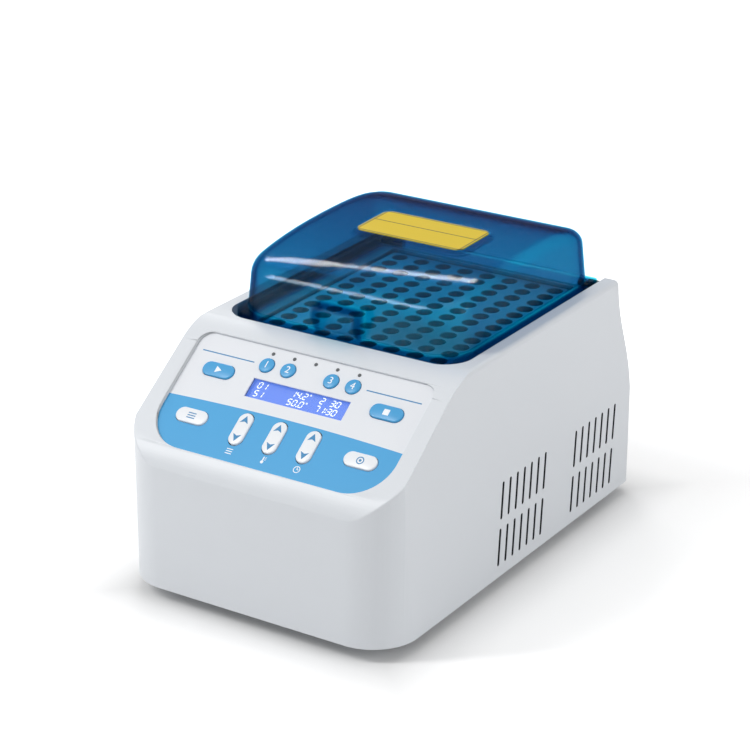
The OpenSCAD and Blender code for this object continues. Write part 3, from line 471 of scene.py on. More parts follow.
def housing_plastic():
    """Pale moulded plastic, with painted shade in dark grey on the inner walls that the vents show.
    """
    made = Finish("Housing plastic with vent shade")
    x, y, z = [made.math("MULTIPLY", part, 1 / MM) for part in axes_of(made.tree, made.place)]
    lean = made.math("MULTIPLY", made.math("SUBTRACT", z, SIDE_Z), SIDE_LEAN)
    wall = made.math("SUBTRACT", SIDE_X, lean)
    inwards = made.math("SUBTRACT", wall, made.math("ABSOLUTE", x))
    # Mask of the painted shade: inside the side wall's face, within the vents' heights and depths.
    mask = made.math("GREATER_THAN", inwards, VENT_SHADE_SKIN)
    for value, (low, high) in ((z, VENT_SHADE_Z), (y, VENT_SHADE_Y)):
        mask = made.math("MULTIPLY", mask, made.math("GREATER_THAN", value, low))
        mask = made.math("MULTIPLY", mask, made.math("LESS_THAN", value, high))
    # Dark grey as painted shade on the vents' inner walls, so that the slots read dark.
    colour = made.mix(mask, made.tone(finish_of().housing, Drift=0.02), srgb(52, 54, 58))
    made.feed(Base_Color=colour, Coat_Weight=0.12, Coat_Roughness=0.25)
    made.skin(grain_group(), Scale=1500.0, Depth=0.000018, Roughness=0.4)


def film_print():
    """The panel film: pale above, blue below a shallow curve, with a fine satin grain."""
    made = Finish("Panel film print")
    spot = made.add(panel_place_group())
    squared = made.math("MULTIPLY", spot["Across"], spot["Across"])
    line = made.math("ADD", made.math("MULTIPLY", squared, -BAND_BOW), BAND_TOP)
    mask = made.math("MULTIPLY", made.math("SUBTRACT", line, spot["Up"]), BAND_EDGE, clamp=True)
    colour = made.mix(mask, finish_of().film, finish_of().band)
    made.feed(Base_Color=made.tone(colour, Drift=0.025))
    made.skin(grain_group(), Scale=2600.0, Depth=0.000012, Roughness=0.38, Spread=0.08)


def tinted_clear(name, tint, density, body, solid):
    """Clear coloured plastic: light that crosses it is taken up by the way it goes inside, so edges
    read darker, under a glossy skin that is solid by a small share."""
    made = Finish(name)
    made.feed(Base_Color=body, IOR=2.1, Specular_IOR_Level=1.0)
    grain = made.add(grain_group(), Scale=300.0, Depth=0.000002, Roughness=0.05, Spread=0.04)
    made.feed(Roughness=grain["Roughness"])
    passing = made.tree.nodes.new("ShaderNodeBsdfTransparent").outputs[0]
    surface = mix_shader(made.tree, solid, passing, made.shader.outputs[0])
    put(made.tree, made.output.inputs["Surface"], surface)
    inside = made.tree.nodes.new("ShaderNodeVolumeAbsorption")
    put(made.tree, inside.inputs["Color"], tint)
    put(made.tree, inside.inputs["Density"], density)
    put(made.tree, made.output.inputs["Volume"], inside.outputs[0])


def lit_screen():
    """The display module: a dark case whose face glows blue behind the window."""
    made = Finish("Lit screen")
    screen = tuple(finish_of().screen)
    unlit = tuple(part * 0.45 for part in screen)
    face = made.math("GREATER_THAN", made.add(panel_place_group())["Out"], -SCREEN_DEPTH)
    made.feed(Base_Color=made.mix(face, (0.02, 0.02, 0.025), unlit),
              Emission_Color=made.mix(face, (0, 0, 0), screen),
              Emission_Strength=trim_of().screen_glow)
    grain = made.add(grain_group(), Scale=900.0, Depth=0.000004, Roughness=0.4)
    made.feed(Roughness=grain["Roughness"])


def plate_print():
    """The blank plate: yellow with a thin dark border and one dividing line."""
    made = Finish("Blank plate")
    x, y, _ = axes_of(made.tree, made.place)
    low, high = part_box("cover_plate")
    middle, half = (low + high) / 2, (high - low) / 2

    def off(value, place):
        return made.math("ABSOLUTE", made.math("SUBTRACT", value, place))

    inset = made.math("MINIMUM", *[
        made.math("SUBTRACT", reach - PLATE_INSET * MM, off(value, place))
        for value, place, reach in ((x, middle.x, half.x), (y, middle.y, half.y))])
    outside = made.math("SUBTRACT", 1.0, made.math("GREATER_THAN", inset, 0.0))
    divider = made.math("ADD", off(y, middle.y + half.y * PLATE_DIVIDER), outside)
    nearest = made.math("MINIMUM", made.math("ABSOLUTE", inset), divider)
    ink = made.math("LESS_THAN", nearest, PLATE_LINE * MM)
    tone = made.tone(finish_of().plate, Drift=0.05, Scale=40.0)
    made.feed(Base_Color=made.mix(ink, tone, (0.02, 0.02, 0.02)), Specular_IOR_Level=0.2)
    made.skin(grain_group(), Scale=2200.0, Depth=0.00001, Roughness=0.5)


def finish_library():
    """Every finish, made once and kept by name."""
    if "Housing plastic with vent shade" in bpy.data.materials:
        return
    look = finish_of()
    housing_plastic()
    for name, colour in (("Blue key plastic", look.key_blue), ("Pale key plastic", look.key_pale)):
        moulded(name, colour, rough=0.36, grain=0.00001, Coat_Weight=0.2, Coat_Roughness=0.2)
    moulded("Black plastic", srgb(28, 28, 30), rough=0.5, grain=0.00003, drift=0.1)
    moulded("Foot rubber", srgb(24, 24, 26), rough=0.8, grain=0.00005, scale=900.0, drift=0.2)
    moulded("Ceramic", srgb(236, 236, 230), rough=0.6, drift=0.03)
    moulded("Dark foam", srgb(52, 54, 56), rough=0.95, grain=0.0002, scale=500.0, drift=0.3)
    moulded("Board resin", srgb(26, 110, 66), rough=0.35, grain=0.00001, drift=0.12,
            Coat_Weight=0.4)
    moulded("Winding tape", srgb(214, 176, 60), rough=0.5, drift=0.1)
    moulded("Can sleeve", srgb(36, 52, 96), rough=0.4, drift=0.08)
    moulded("Lamp lens", srgb(72, 76, 80), rough=0.3, Coat_Weight=0.5)
    moulded("White ink", srgb(246, 250, 255), rough=0.4, grain=0.000004)
    moulded("Blue ink", srgb(50, 132, 184), rough=0.4, grain=0.000004)
    moulded("Painted sheet", srgb(206, 210, 214), rough=0.5, grain=0.00003, scale=1100.0)
    moulded("Hinge paint", srgb(62, 72, 72), rough=0.4, grain=0.00002)
    moulded("Screen figures", srgb(250, 252, 255), rough=0.4,
            Emission_Color=(0.9, 0.95, 1), Emission_Strength=0.75)
    metal("Anodised block", look.block, rough=0.42, drift=0.05)
    metal("Milled aluminium", srgb(196, 199, 203), rough=0.38)
    metal("Plated steel", srgb(180, 182, 186), rough=0.3)
    metal("Contact brass", srgb(214, 176, 96), rough=0.25)
    film_print()
    lit_screen()
    plate_print()
    tinted_clear("Tinted cover", look.cover, COVER_DENSITY, srgb(0, 84, 150), COVER_SOLID)
    tinted_clear("Display window", (0.8, 0.85, 1.0), 40.0, srgb(210, 225, 250), 0.08)


def paint(name, *nodes):
    """Puts one finish on these CAD nodes."""
    for node in nodes:
        mesh = NODES[node].data
        mesh.materials.clear()
        mesh.materials.append(bpy.data.materials[name])


# ---- pieces


def piece(name, bm, material, body, replaces=(), place=None, smooth=None):
    """Closes a bmesh into an object with its place in its mesh, and seats it on its body."""
    if place is not None:
        bmesh.ops.transform(bm, matrix=place, verts=bm.verts)
    mesh = bpy.data.meshes.new(name)
    bm.to_mesh(mesh)
    bm.free()
    mesh.materials.append(bpy.data.materials[material])
    obj = bpy.data.objects.new(name, mesh)
    bpy.context.collection.objects.link(obj)
    if smooth is not None:
        mesh.shade_smooth()
        mesh.set_sharp_from_angle(angle=smooth)
    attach(obj, body)
    if replaces:
        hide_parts(*replaces)
    return obj


def merged_copy(node):
    """A CAD node's loose triangles, merged in a bmesh of their own."""
    bm = bmesh.new()
    bm.from_mesh(NODES[node].data)
    bmesh.ops.remove_doubles(bm, verts=bm.verts, dist=MERGE)
    return bm


def join_into(bm, other):
    """Adds one bmesh to another and lets go of it."""
    mesh = bpy.data.meshes.new("part")
    other.to_mesh(mesh)
    other.free()
    bm.from_mesh(mesh)
    bpy.data.meshes.remove(mesh)


def whole(bm):
    """Everything in a bmesh."""
    return bm.verts[:] + bm.edges[:] + bm.faces[:]


def beveled(bm, edges, offset, steps):
    """Rounds off these edges."""
    bmesh.ops.bevel(bm, geom=edges, offset=offset, offset_type="OFFSET", segments=steps,
                    affect="EDGES", profile=0.5, material=-1, clamp_overlap=True)


def drawn_out(bm, faces, way, keep=True):
    """Draws faces out along a way; returns the corners that went along."""
    made = bmesh.ops.extrude_face_region(bm, geom=faces, use_keep_orig=keep)["geom"]
    verts = [g for g in made if isinstance(g, bmesh.types.BMVert)]
    bmesh.ops.translate(bm, vec=way, verts=verts)
    return verts


def raised(bm, face, height, edge=0.0):
    """Draws a flat face up into a closed solid and rounds its upper rim."""
    top = dict.fromkeys(drawn_out(bm, [face], (0, 0, height)))
    if edge > 0:
        rim = dict.fromkeys(e for v in top for e in v.link_edges if all(w in top for w in e.verts))
        beveled(bm, list(rim), edge, RIM_STEPS)


def on_panel(x=0.0, y=0.0, z=0.0):
    """Place on the panel for a mesh drawn in millimetres."""
    return PANEL @ Matrix.Scale(MM, 4) @ Matrix.Translation((x, y, z))


def circle(bm, place, radius, steps, **values):
    """A circle round this place."""
    return bmesh.ops.create_circle(bm, radius=radius, segments=steps,
                                   matrix=Matrix.Translation(place), **values)["verts"]


def stadium(bm, size, z, turned=False, steps=CAP_STEPS, lip=0.0):
    """A flat face with round ends, of this length and width and a lip all round."""
    length, width = size
    verts = bmesh.ops.create_circle(
        bm, cap_ends=True, radius=width / 2 + lip, segments=steps,
        matrix=Matrix.Translation((0, 0, z)) @ Matrix.Rotation(math.pi / steps, 4, "Z"))["verts"]
    for v in verts:
        v.co.x += math.copysign((length - width) / 2, v.co.x)
    if turned:
        bmesh.ops.rotate(bm, matrix=Matrix.Rotation(math.pi / 2, 3, "Z"), verts=verts)
    return verts[0].link_faces[0]


def key_cap(cap, stem):
    """A key: cap with a rounded rim, the flange under the seat and the stem, in millimetres."""
    bm = bmesh.new()
    raised(bm, stadium(bm, cap, -SEAT_DEPTH - KEY_SINK), SEAT_DEPTH + KEY_SINK + KEY_RISE,
           trim_of().key_edge / MM)
    raised(bm, stadium(bm, cap, -SEAT_DEPTH - FLANGE_SINK, lip=FLANGE_LIP), FLANGE_HEIGHT)
    raised(bm, stadium(bm, stem, -STEM_DEPTH, steps=STEM_STEPS), STEM_HEIGHT)
    bmesh.ops.recalc_face_normals(bm, faces=bm.faces)
    return bm


def rocking_cap():
    """A rocking key: cap with a rounded rim, the block under it and its axle, in millimetres."""
    bm = bmesh.new()
    foot = ROCKER_LIFT - SEAT_DEPTH
    raised(bm, stadium(bm, LONG_CAP, foot, turned=True), KEY_RISE - foot, trim_of().key_edge / MM)
    place = Matrix.Translation((0, 0, ROCKER_BLOCK.z / 2 - STEM_DEPTH))
    bmesh.ops.create_cube(bm, size=1.0, matrix=place @ Matrix.Diagonal((*ROCKER_BLOCK, 1)))
    place = Matrix.Translation((0, 0, -SEAT_DEPTH - AXLE_SINK))
    bmesh.ops.create_cone(bm, cap_ends=True, segments=32, radius1=AXLE_R, radius2=AXLE_R,
                          depth=AXLE_LENGTH, matrix=place @ Matrix.Rotation(math.pi / 2, 4, "Y"))
    bmesh.ops.recalc_face_normals(bm, faces=bm.faces)
    return bm


def flat_shape(bm, points, z, height):
    """A thin closed mark with these corners, in millimetres."""
    verts = [bm.verts.new((x, y, z)) for x, y in points]
    raised(bm, bm.faces.new(verts), height)


def bar(bm, x0, y0, x1, y1, z, height, wide):
    """A thin straight stroke from one point to another."""
    a, b = Vector((x0, y0)), Vector((x1, y1))
    along = (b - a).normalized()
    side = Vector((-along.y, along.x)) * wide / 2
    flat_shape(bm, [a - side, b - side, b + side, a + side], z, height)


def ring(bm, x, y, radius, wide, z, height, steps=32):
    """A thin flat ring."""
    verts = [v for r in (radius, radius - wide) for v in circle(bm, (x, y, z), r, steps)]
    edges = dict.fromkeys(e for v in verts for e in v.link_edges)
    faces = bmesh.ops.bridge_loops(bm, edges=list(edges))["faces"]
    drawn_out(bm, faces, (0, 0, height))


def dot(bm, x, y, radius, z, height):
    """A thin round mark."""
    raised(bm, circle(bm, (x, y, z), radius, 24, cap_ends=True)[0].link_faces[0], height)


def mark(name, bm, x, y, body, material="White ink"):
    """Finishes printed marks drawn in millimetres about a point of the panel."""
    bmesh.ops.recalc_face_normals(bm, faces=bm.faces)
    return piece(name, bm, material, body, place=on_panel(x, y))


def figures(bm, text, x, y, height, z):
    """Writes figures with seven slanted strokes; x, y is the first figure's lower left corner."""
    wide, stroke, lean = height * 0.52, height * 0.13, 0.16
    gap, half = stroke * 0.25, stroke / 2
    steps = {".": height * 0.24, ":": height * 0.24, "'": height * 0.4}

    def corner(px, py):
        return (x + px + lean * py, y + py)

    def shape(points):
        flat_shape(bm, [corner(px, py) for px, py in points], z, FIGURE_THICK)

    for sign in text:
        if sign in POINT_LEVELS:
            for level in POINT_LEVELS[sign]:
                left, right = -stroke * 0.3, stroke * 0.9
                foot, head = level * height, level * height + stroke * 1.2
                shape([(left, foot), (right, foot), (right, head), (left, head)])
        elif sign == "'":
            ring(bm, *corner(height * 0.14, height * 0.86), height * 0.13, stroke * 0.6, z,
                 FIGURE_THICK, 12)
        else:
            for name in STROKES[sign]:
                ax, ay, bx, by = STROKE_ENDS[name]
                ax, bx = ax * wide, bx * wide
                ay, by = half + ay * (height - stroke), half + by * (height - stroke)
                if name in "adg":
                    ax, bx = ax + gap, bx - gap
                    shape([(ax, ay), (ax + half, ay - half), (bx - half, ay - half),
                           (bx, ay), (bx - half, ay + half), (ax + half, ay + half)])
                else:
                    ay, by = ay + gap, by - gap
                    shape([(ax, ay), (ax + half, ay + half), (ax + half, by - half),
                           (ax, by), (ax - half, by - half), (ax - half, ay + half)])
        x += steps.get(sign, height * 0.78)


def number_mesh(text, height):
    """A plain number as a mesh in millimetres, centred on its own middle."""
    curve = bpy.data.curves.new("number " + text, "FONT")
    curve.body = text
    curve.size = NUMBER_SIZE
    curve.extrude = height / 2
    curve.align_x = curve.align_y = "CENTER"
    holder = bpy.data.objects.new("number", curve)
    bpy.context.collection.objects.link(holder)
    bpy.context.view_layer.update()
    bm = bmesh.new()
    bm.from_mesh(holder.evaluated_get(bpy.context.evaluated_depsgraph_get()).to_mesh())
    bpy.data.objects.remove(holder)
    bpy.data.curves.remove(curve)
    bmesh.ops.remove_doubles(bm, verts=bm.verts, dist=0.0001)
    return bm


# ---- housing


def corner_crease(bm):
    """The edges where the slope's face runs out over the housing's two round front corners."""
    def on_corner(place):
        out = math.hypot(abs(place.x) / MM - CORNER_X, place.y / MM - CORNER_Y)
        return abs(out - CORNER_R) < ON_CORNER and place.z > CORNER_Z * MM

    return [e for e in bm.edges if len(e.link_faces) == 2 and e.is_convex
            and CREASE_LOW < e.calc_face_angle() < CREASE_HIGH
            and all(on_corner(v.co) for v in e.verts)]


class HEATER_OT_housing(bpy.types.Operator):
    """Shades the moulded housing smooth and finishes the floor, feet and rear panel"""

    bl_idname = "heater.housing"
    bl_label = "Housing"

    def execute(self, context):
        finish_library()
        bm = merged_copy("housing")
        bmesh.ops.dissolve_degenerate(bm, edges=bm.edges, dist=EDGE)
        bmesh.ops.dissolve_limit(bm, angle_limit=FLAT_ANGLE, verts=bm.verts, edges=bm.edges,
                                 use_dissolve_boundaries=False)
        beveled(bm, corner_crease(bm), MELT_R * MM, MELT_STEPS)
        made = piece("moulded_housing", bm, "Housing plastic with vent shade", "base",
                     ("housing",), smooth=trim_of().smooth_angle)
        steady = made.modifiers.new("Even shading", "WEIGHTED_NORMAL")
        steady.keep_sharp = True
        steady.weight = 100
        paint("Painted sheet", "floor_plate", "rear_panel")
        paint("Foot rubber", "rubber_feet")
        paint("Plated steel", "foot_screws", "floor_screws", "hinge_pins")
        paint("Hinge paint", "hinge_brackets")
        return {"FINISHED"}


# ---- cover


def upright(bm, y):
    """The two upright edges of a box that lie at this y."""
    return [e for e in bm.edges if abs(e.verts[0].co.z - e.verts[1].co.z) > LEVEL
            and all(abs(v.co.y - y) < LEVEL for v in e.verts)]


def crown_height(y):
    """Height of the cover's top, carried on straight over its rounded front and rear edges."""
    def top(at):
        start = Vector((CROWN_X * MM, at, ABOVE_ALL * MM))
        hit, place, _, _ = NODES["cover"].ray_cast(start, Vector((0, 0, -1)))
        if not hit:
            raise RuntimeError("the cover has no top at %.4f" % at)
        return place.z

    low, high = (DOME_FRONT + BROW) * MM, (DOME_REAR - BROW) * MM
    edge = min(max(y, low), high)
    if edge == y:
        return top(y)
    inwards = math.copysign(CROWN_REACH * MM, edge - y)
    return top(edge) + (top(edge + inwards) - top(edge)) / inwards * (y - edge)


def pocket(bm):
    """Sinks the place of the blank plate into the cover's top, with rounded corners."""
    low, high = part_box("cover_plate")
    middle, half = (low + high) / 2, (high - low) / 2 + Vector((1, 1, 0)) * POCKET_RIM * MM
    radius = POCKET_R * MM
    planes = []
    for sx, sy in ((-1, -1), (-1, 1), (1, -1), (1, 1)):
        arc = Vector((middle.x + sx * (half.x - radius), middle.y + sy * (half.y - radius), 0))
        for k in range(POCKET_STEPS + 1):
            turn = math.pi / 2 * k / POCKET_STEPS
            normal = Vector((sx * math.cos(turn), sy * math.sin(turn), 0))
            planes.append((arc + normal * radius, normal))

    def is_near(f):
        return f.normal.z > LOOKS_UP and abs(f.calc_center_median().y - middle.y) < 2 * half.y

    def is_inside(f):
        place = f.calc_center_median()
        return f.normal.z > LOOKS_UP and all((place - p).dot(normal) < 0 for p, normal in planes)

    for point, normal in planes:
        near = [f for f in bm.faces if is_near(f)]
        geom = dict.fromkeys(near + [g for f in near for g in (*f.edges, *f.verts)])
        bmesh.ops.bisect_plane(bm, geom=list(geom), dist=LEVEL, plane_co=point, plane_no=normal)
    bm.normal_update()
    sunk = [f for f in bm.faces if is_inside(f)]
    bmesh.ops.inset_region(bm, faces=sunk, thickness=POCKET_SLOPE * MM, depth=0,
                           use_even_offset=True, use_boundary=True)
    bmesh.ops.translate(bm, vec=(0, 0, -POCKET_D * MM),
                        verts=list(dict.fromkeys(v for f in sunk for v in f.verts)))


def dome():
    """The cover's shell: a box with round corners, an arched top and a round brow, made hollow."""
    bm = bmesh.new()
    depth, middle = DOME_REAR - DOME_FRONT, (DOME_FRONT + DOME_REAR) / 2
    foot = (DOME_FOOT - DOME_LAP) * MM
    bmesh.ops.create_cube(bm, size=MM, matrix=Matrix.Translation(
        (0, middle * MM, DOME_FOOT * MM)) @ Matrix.Diagonal((2 * DOME_X, depth, depth, 1)))
    first, last = DOME_FRONT + BROW + CROWN_START, DOME_REAR - BROW - CROWN_END
    for k in range(CROWN_STRIPS):
        y = first + (last - first) * k / (CROWN_STRIPS - 1)
        bmesh.ops.bisect_plane(bm, geom=whole(bm), dist=LEVEL,
                               plane_co=(0, y * MM, 0), plane_no=(0, 1, 0))
    beveled(bm, upright(bm, DOME_FRONT * MM), DOME_FRONT_R * MM, DOME_FRONT_STEPS)
    beveled(bm, upright(bm, DOME_REAR * MM), DOME_REAR_R * MM, DOME_REAR_STEPS)
    for v in bm.verts:
        v.co.z = foot if v.co.z < DOME_FOOT * MM else crown_height(v.co.y)
    floor = [f for f in bm.faces if all(abs(v.co.z - foot) < LEVEL for v in f.verts)]
    bmesh.ops.delete(bm, geom=floor, context="FACES")
    bm.normal_update()
    brow = [e for e in bm.edges if len(e.link_faces) == 2
            and sorted(abs(f.normal.z) > LIES_FLAT for f in e.link_faces) == [False, True]]
    beveled(bm, brow, BROW_R * MM, BROW_STEPS)
    for v in bm.verts:
        up = max(v.co.z - foot, 0)
        v.co.x -= v.co.x / (DOME_X * MM) * SIDE_IN * up
        v.co.y -= (v.co.y - middle * MM) / (depth / 2 * MM) * FRONT_IN * up
    bmesh.ops.recalc_face_normals(bm, faces=bm.faces)
    pocket(bm)
    bmesh.ops.solidify(bm, geom=bm.faces[:], thickness=DOME_WALL * MM)
    return bm


def cut_cover(cuts, reach=0.0):
    """What these cuts leave of the CAD cover, closed and drawn out from its last cut by reach."""
    bm = merged_copy("cover")
    for place, normal in cuts:
        cut = bmesh.ops.bisect_plane(bm, geom=whole(bm), dist=CUT, plane_co=place,
                                     plane_no=normal, clear_outer=True)
        edges = [g for g in cut["geom_cut"] if isinstance(g, bmesh.types.BMEdge)]
        caps = bmesh.ops.triangle_fill(bm, edges=edges, use_beauty=True, use_dissolve=False)["geom"]
    if reach:
        faces = [g for g in caps if isinstance(g, bmesh.types.BMFace)]
        drawn_out(bm, faces, Vector(normal) * reach, keep=False)
        bmesh.ops.delete(bm, geom=faces, context="FACES")
    bmesh.ops.recalc_face_normals(bm, faces=bm.faces)
    return bm


class HEATER_OT_cover(bpy.types.Operator):
    """Draws the clear cover as one rounded shell and finishes its blank plate"""

    bl_idname = "heater.cover"
    bl_label = "Cover"

    def execute(self, context):
        finish_library()
        bm = dome()
        under = (0, 0, (DOME_FOOT - CUT_GAP) * MM), (0, 0, 1)
        over = (0, 0, (DOME_FOOT + CUT_GAP) * MM), (0, 0, -1)
        ahead = (0, (DOME_FRONT - GRIP_GAP) * MM, 0), (0, 1, 0)
        join_into(bm, cut_cover([under]))
        join_into(bm, cut_cover([over, ahead], GRIP_REACH * MM))
        piece("clear_cover", bm, "Tinted cover", "cover", ("cover",),
              smooth=trim_of().smooth_angle)
        paint("Blank plate", "cover_plate")
        return {"FINISHED"}


# ---- inside


class HEATER_OT_block(bpy.types.Operator):
    """Finishes the block, its frame and the heating stack under it"""

    bl_idname = "heater.block"
    bl_label = "Block and heating stack"

    def execute(self, context):
        finish_library()
        paint("Anodised block", "sample_block")
        paint("Milled aluminium", "well_frame", "heater_plate", "heat_sink")
        paint("Ceramic", "thermoelectric_modules")
        paint("Dark foam", "insulation_pad")
        paint("Plated steel", "support_posts", "fan_screws", "temperature_sensor")
        paint("Black plastic", "fan_frame", "fan_rotor", "thermal_cutout")
        return {"FINISHED"}


class HEATER_OT_electrics(bpy.types.Operator):
    """Finishes the boards and the power entry"""

    bl_idname = "heater.electrics"
    bl_label = "Boards and power entry"

    def execute(self, context):
        finish_library()
        paint("Black plastic", "power_inlet", "fuse_drawer", "switch_frame", "switch_rocker",
              "tact_switches")
        paint("Contact brass", "inlet_contacts", "board_standoffs")
        paint("Plated steel", "inlet_screws", "control_board_screws")
        paint("Board resin", "control_board", "power_board")
        paint("Winding tape", "transformer")
        paint("Can sleeve", "capacitors")
        return {"FINISHED"}


# ---- panel and keys


def draw_rules(bm, thick):
    """The two blue lines beside the round keys."""
    for side in (-1, 1):
        bar(bm, side * RULE_FROM, 0, side * RULE_TO, 0, 0.0, thick, RULE_WIDE)


def draw_signs(bm, thick):
    """A list, a thermometer and a clock under the three rocking keys."""
    for i in range(3):
        y = 1.4 - 1.4 * i
        bar(bm, -ROCKER_PITCH - 2.0, y, -ROCKER_PITCH + 2.0, y, 0.0, thick, 0.5)
    bar(bm, 0, -0.4, 0, 2.3, 0.0, thick, 0.7)
    dot(bm, 0, -1.0, 0.95, 0.0, thick)
    for i in range(3):
        bar(bm, 0.9, 0.4 + 0.8 * i, 1.7, 0.4 + 0.8 * i, 0.0, thick, 0.3)
    ring(bm, ROCKER_PITCH, 0, 2.1, 0.45, 0.0, thick)
    bar(bm, ROCKER_PITCH, -0.1, ROCKER_PITCH, 1.4, 0.0, thick, 0.45)
    bar(bm, ROCKER_PITCH - 0.1, 0, ROCKER_PITCH + 1.1, 0, 0.0, thick, 0.45)


class HEATER_OT_panel(bpy.types.Operator):
    """Prints the panel film and lights the display"""

    bl_idname = "heater.panel"
    bl_label = "Panel film and display"

    def execute(self, context):
        finish_library()
        paint("Panel film print", "panel_film")
        paint("Display window", "display_window")
        paint("Lit screen", "display_module")
        paint("Lamp lens", "lamps")
        thick = trim_of().print_height / MM
        rules, signs, shown = bmesh.new(), bmesh.new(), bmesh.new()
        draw_rules(rules, thick)
        mark("panel_rules", rules, 0, RULE_Y, "base", "Blue ink")
        draw_signs(signs, thick)
        mark("panel_signs", signs, 0, SIGN_ROW_Y, "base")
        for text, x, y in SHOWN:
            figures(shown, text, x, y, trim_of().figure_height / MM, FIGURE_LIFT - SEAT_DEPTH)
        mark("screen_figures", shown, 0, SCREEN_Y, "base", "Screen figures")
        return {"FINISHED"}


def key_sign(node, thick):
    """The plain sign on a long key: a triangle to start, a square to stop, a list or a dial."""
    bm = bmesh.new()
    if node == "start_key":
        flat_shape(bm, [(-1.5, -2.1), (2.3, 0), (-1.5, 2.1)], KEY_RISE, thick)
    elif node == "stop_key":
        flat_shape(bm, [(-1.8, -1.8), (1.8, -1.8), (1.8, 1.8), (-1.8, 1.8)], KEY_RISE, thick)
    elif node == "option_key":
        for y in (-1.5, 0, 1.5):
            bar(bm, -2.6, y, 2.6, y, KEY_RISE, thick, 0.6)
    else:
        ring(bm, 0, 0, 2.3, 0.6, KEY_RISE, thick)
        dot(bm, 0, 0, 0.8, KEY_RISE, thick)
    return bm


def arrows(thick):
    """The two arrow heads on a rocking key, one up and one down."""
    bm = bmesh.new()
    for up in (-1, 1):
        points = [(-2.6, up * 3.6), (0, up * 4.6), (2.6, up * 3.6), (0, up * 8.2)]
        flat_shape(bm, points[::up], KEY_RISE, thick)
    return bm


class HEATER_OT_keys(bpy.types.Operator):
    """Models the keys with rounded rims and their plain signs"""

    bl_idname = "heater.keys"
    bl_label = "Keys"

    def execute(self, context):
        finish_library()
        smooth = trim_of().smooth_angle
        thick = trim_of().print_height / MM
        for i, x in enumerate(ROUND_KEY_X, 1):
            node = f"programme_key_{i}"
            piece(f"round_key_{i}", key_cap(ROUND_CAP, ROUND_STEM), "Blue key plastic", node,
                  (node,), on_panel(x, ROUND_KEY_Y), smooth)
            piece(f"round_key_sign_{i}", number_mesh(str(i), thick * 2), "White ink", node,
                  place=on_panel(x, ROUND_KEY_Y, KEY_RISE))
        blue = ("Blue key plastic", "key_blue", "White ink")
        pale = ("Pale key plastic", "key_white", "Blue ink")
        for node, side, y, (plastic, slot, ink) in (
            ("start_key", -1, UPPER_KEY_Y, blue), ("stop_key", 1, UPPER_KEY_Y, blue),
            ("option_key", -1, LOWER_KEY_Y, pale), ("mode_key", 1, LOWER_KEY_Y, pale),
        ):
            x = side * LONG_KEY_X
            piece(node + "_cap", key_cap(LONG_CAP, LONG_STEM), plastic, node, (node,),
                  on_panel(x, y), smooth)
            mark(node + "_sign", key_sign(node, thick), x, y, node, ink)
        for i, node in enumerate(("programme_rocker", "temperature_rocker", "time_rocker"), -1):
            x = i * ROCKER_PITCH
            piece(node + "_cap", rocking_cap(), "Pale key plastic", node, (node,),
                  on_panel(x, LOWER_KEY_Y), smooth)
            mark(node + "_arrows", arrows(thick), x, LOWER_KEY_Y, node, "Blue ink")
        return {"FINISHED"}


# ---- stage


def sees_white(tree):
    """1 for rays that show white surroundings: the camera's, mirrored ones, those through glass."""
    path = tree.nodes.new("ShaderNodeLightPath").outputs
    mirrored = math_node(tree, "MAXIMUM", path["Is Camera Ray"], path["Is Glossy Ray"])
    return math_node(tree, "MAXIMUM", mirrored, path["Is Transmission Ray"])


def add_camera(context):
    """The bench camera, from the front right and above."""
    lens = bpy.data.cameras.new("bench_camera")
    lens.lens = CAMERA_LENS
    lens.sensor_width = 36
    lens.clip_end = 20
    camera = bpy.data.objects.new("bench_camera", lens)
    camera.location = CAMERA_PLACE
    camera.rotation_euler = (math.radians(90 - CAMERA_DOWN), 0, math.radians(CAMERA_TURN))
    context.collection.objects.link(camera)
    context.scene.camera = camera


def light_room(scene):
    """A dim white room that reads as plain white wherever it is seen."""
    world = bpy.data.worlds.new("plain_room")
    world.use_nodes = True
    scene.world = world
    tree = world.node_tree
    dim, bright = tree.nodes["Background"], tree.nodes.new("ShaderNodeBackground")
    for node, strength in ((dim, ROOM_LIGHT), (bright, 1.0)):
        put(tree, node.inputs["Color"], (1, 1, 1))
        put(tree, node.inputs["Strength"], strength)
    seen = mix_shader(tree, sees_white(tree), dim.outputs[0], bright.outputs[0])
    put(tree, tree.nodes["World Output"].inputs["Surface"], seen)


def set_lamps(collection):
    """The soft lamps round the bench."""
    for name, (place, target, size, power) in LAMPS.items():
        lamp = bpy.data.lights.new(name, "AREA")
        lamp.shape = "RECTANGLE"
        lamp.size, lamp.size_y = size
        lamp.energy = power
        obj = bpy.data.objects.new(name, lamp)
        obj.location = place
        obj.rotation_euler = (Vector(target) - Vector(place)).to_track_quat("-Z", "Y").to_euler()
        collection.objects.link(obj)


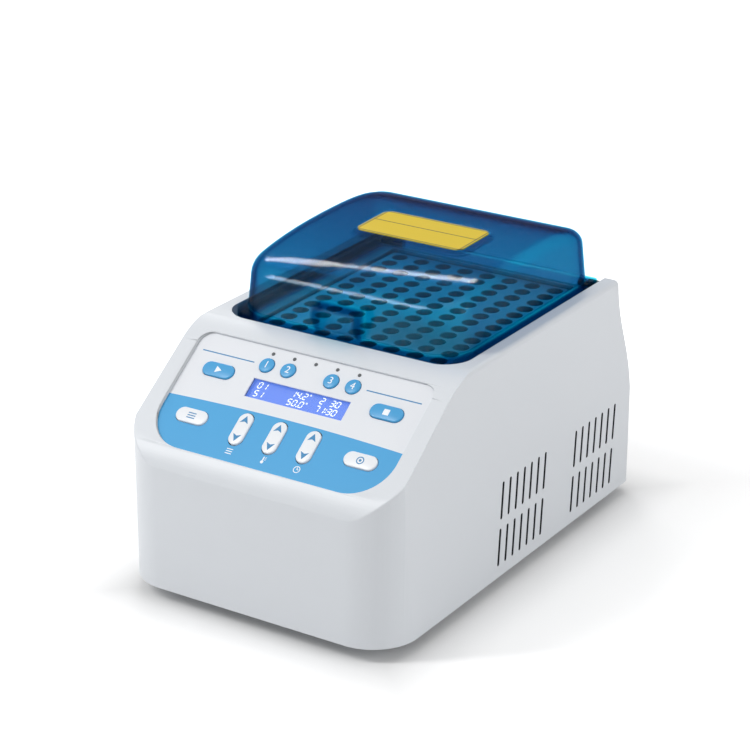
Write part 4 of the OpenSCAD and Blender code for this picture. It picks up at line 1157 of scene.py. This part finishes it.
def white_paper():
    """Paper made white further out by painted light that spares the heater's contact shadow at its
    foot.
    """
    paper = bpy.data.materials.new("White bench")
    paper.use_nodes = True
    tree = paper.node_tree
    shader = tree.nodes["Principled BSDF"]
    put(tree, shader.inputs["Base Color"], (PAPER_TONE,) * 3)
    put(tree, shader.inputs["Roughness"], PAPER_ROUGH)
    place = axes_of(tree, tree.nodes.new("ShaderNodeTexCoord").outputs["Object"])
    away = math_node(tree, "MAXIMUM", *[
        math_node(tree, "SUBTRACT", math_node(tree, "ABSOLUTE", place[k]), CAD_BOX[1][k])
        for k in (0, 1)])
    steps = []
    for near, far, glow in PAPER_PAINTED_LIGHT:
        lift = tree.nodes.new("ShaderNodeMapRange")
        for label, value in (("Value", away), ("From Min", near), ("From Max", far),
                             ("To Min", 0.0), ("To Max", glow)):
            put(tree, lift.inputs[label], value)
        steps.append(lift.outputs["Result"])
    # The painted light: a glow that lifts the paper towards white away from the heater.
    white = tree.nodes.new("ShaderNodeEmission")
    put(tree, white.inputs["Strength"], math_node(tree, "ADD", *steps))
    lit = tree.nodes.new("ShaderNodeAddShader")
    put(tree, lit.inputs[0], shader.outputs[0])
    put(tree, lit.inputs[1], white.outputs[0])
    seen = mix_shader(tree, sees_white(tree), shader.outputs[0], lit.outputs[0])
    put(tree, tree.nodes["Material Output"].inputs["Surface"], seen)
    return paper


class HEATER_OT_stage(bpy.types.Operator):
    """Sets the camera, the plain lamps and the white floor"""

    bl_idname = "heater.stage"
    bl_label = "Stage"

    def execute(self, context):
        context.scene.view_settings.view_transform = "Standard"
        add_camera(context)
        light_room(context.scene)
        set_lamps(context.collection)
        bm = bmesh.new()
        bmesh.ops.create_grid(bm, x_segments=1, y_segments=1, size=PAPER_HALF)
        bmesh.ops.translate(bm, vec=(0, 0, -PAPER_SINK), verts=bm.verts)
        mesh = bpy.data.meshes.new("bench_top")
        bm.to_mesh(mesh)
        bm.free()
        mesh.materials.append(white_paper())
        floor = bpy.data.objects.new("bench_top", mesh)
        context.collection.objects.link(floor)
        return {"FINISHED"}


# ---- sidebar and run


class HEATER_PT_sidebar(bpy.types.Panel):
    """Lists the heater's steps and finishes"""

    bl_idname = "HEATER_PT_sidebar"
    bl_label = "Dry Block Heater"
    bl_space_type = "VIEW_3D"
    bl_region_type = "UI"
    bl_category = "Heater"

    def draw(self, context):
        column = self.layout.column(align=True)
        for step in STEPS:
            column.operator(step.bl_idname)
        for group in (context.scene.heater_finish, context.scene.heater_trim):
            for name in group.__annotations__:
                self.layout.prop(group, name)


STEPS = (HEATER_OT_stage, HEATER_OT_housing, HEATER_OT_cover, HEATER_OT_block,
         HEATER_OT_electrics, HEATER_OT_panel, HEATER_OT_keys)
CLASSES = (HeaterFinish, HeaterTrim, *STEPS, HEATER_PT_sidebar)


def register():
    for cls in CLASSES:
        bpy.utils.register_class(cls)
    bpy.types.Scene.heater_finish = bpy.props.PointerProperty(type=HeaterFinish)
    bpy.types.Scene.heater_trim = bpy.props.PointerProperty(type=HeaterTrim)


def unregister():
    del bpy.types.Scene.heater_trim
    del bpy.types.Scene.heater_finish
    for cls in reversed(CLASSES):
        bpy.utils.unregister_class(cls)


def main():
    register()
    bpy.ops.heater.stage()
    bpy.ops.heater.housing()
    bpy.ops.heater.cover()
    bpy.ops.heater.block()
    bpy.ops.heater.electrics()
    bpy.ops.heater.panel()
    bpy.ops.heater.keys()


if __name__ == "__main__":
    main()
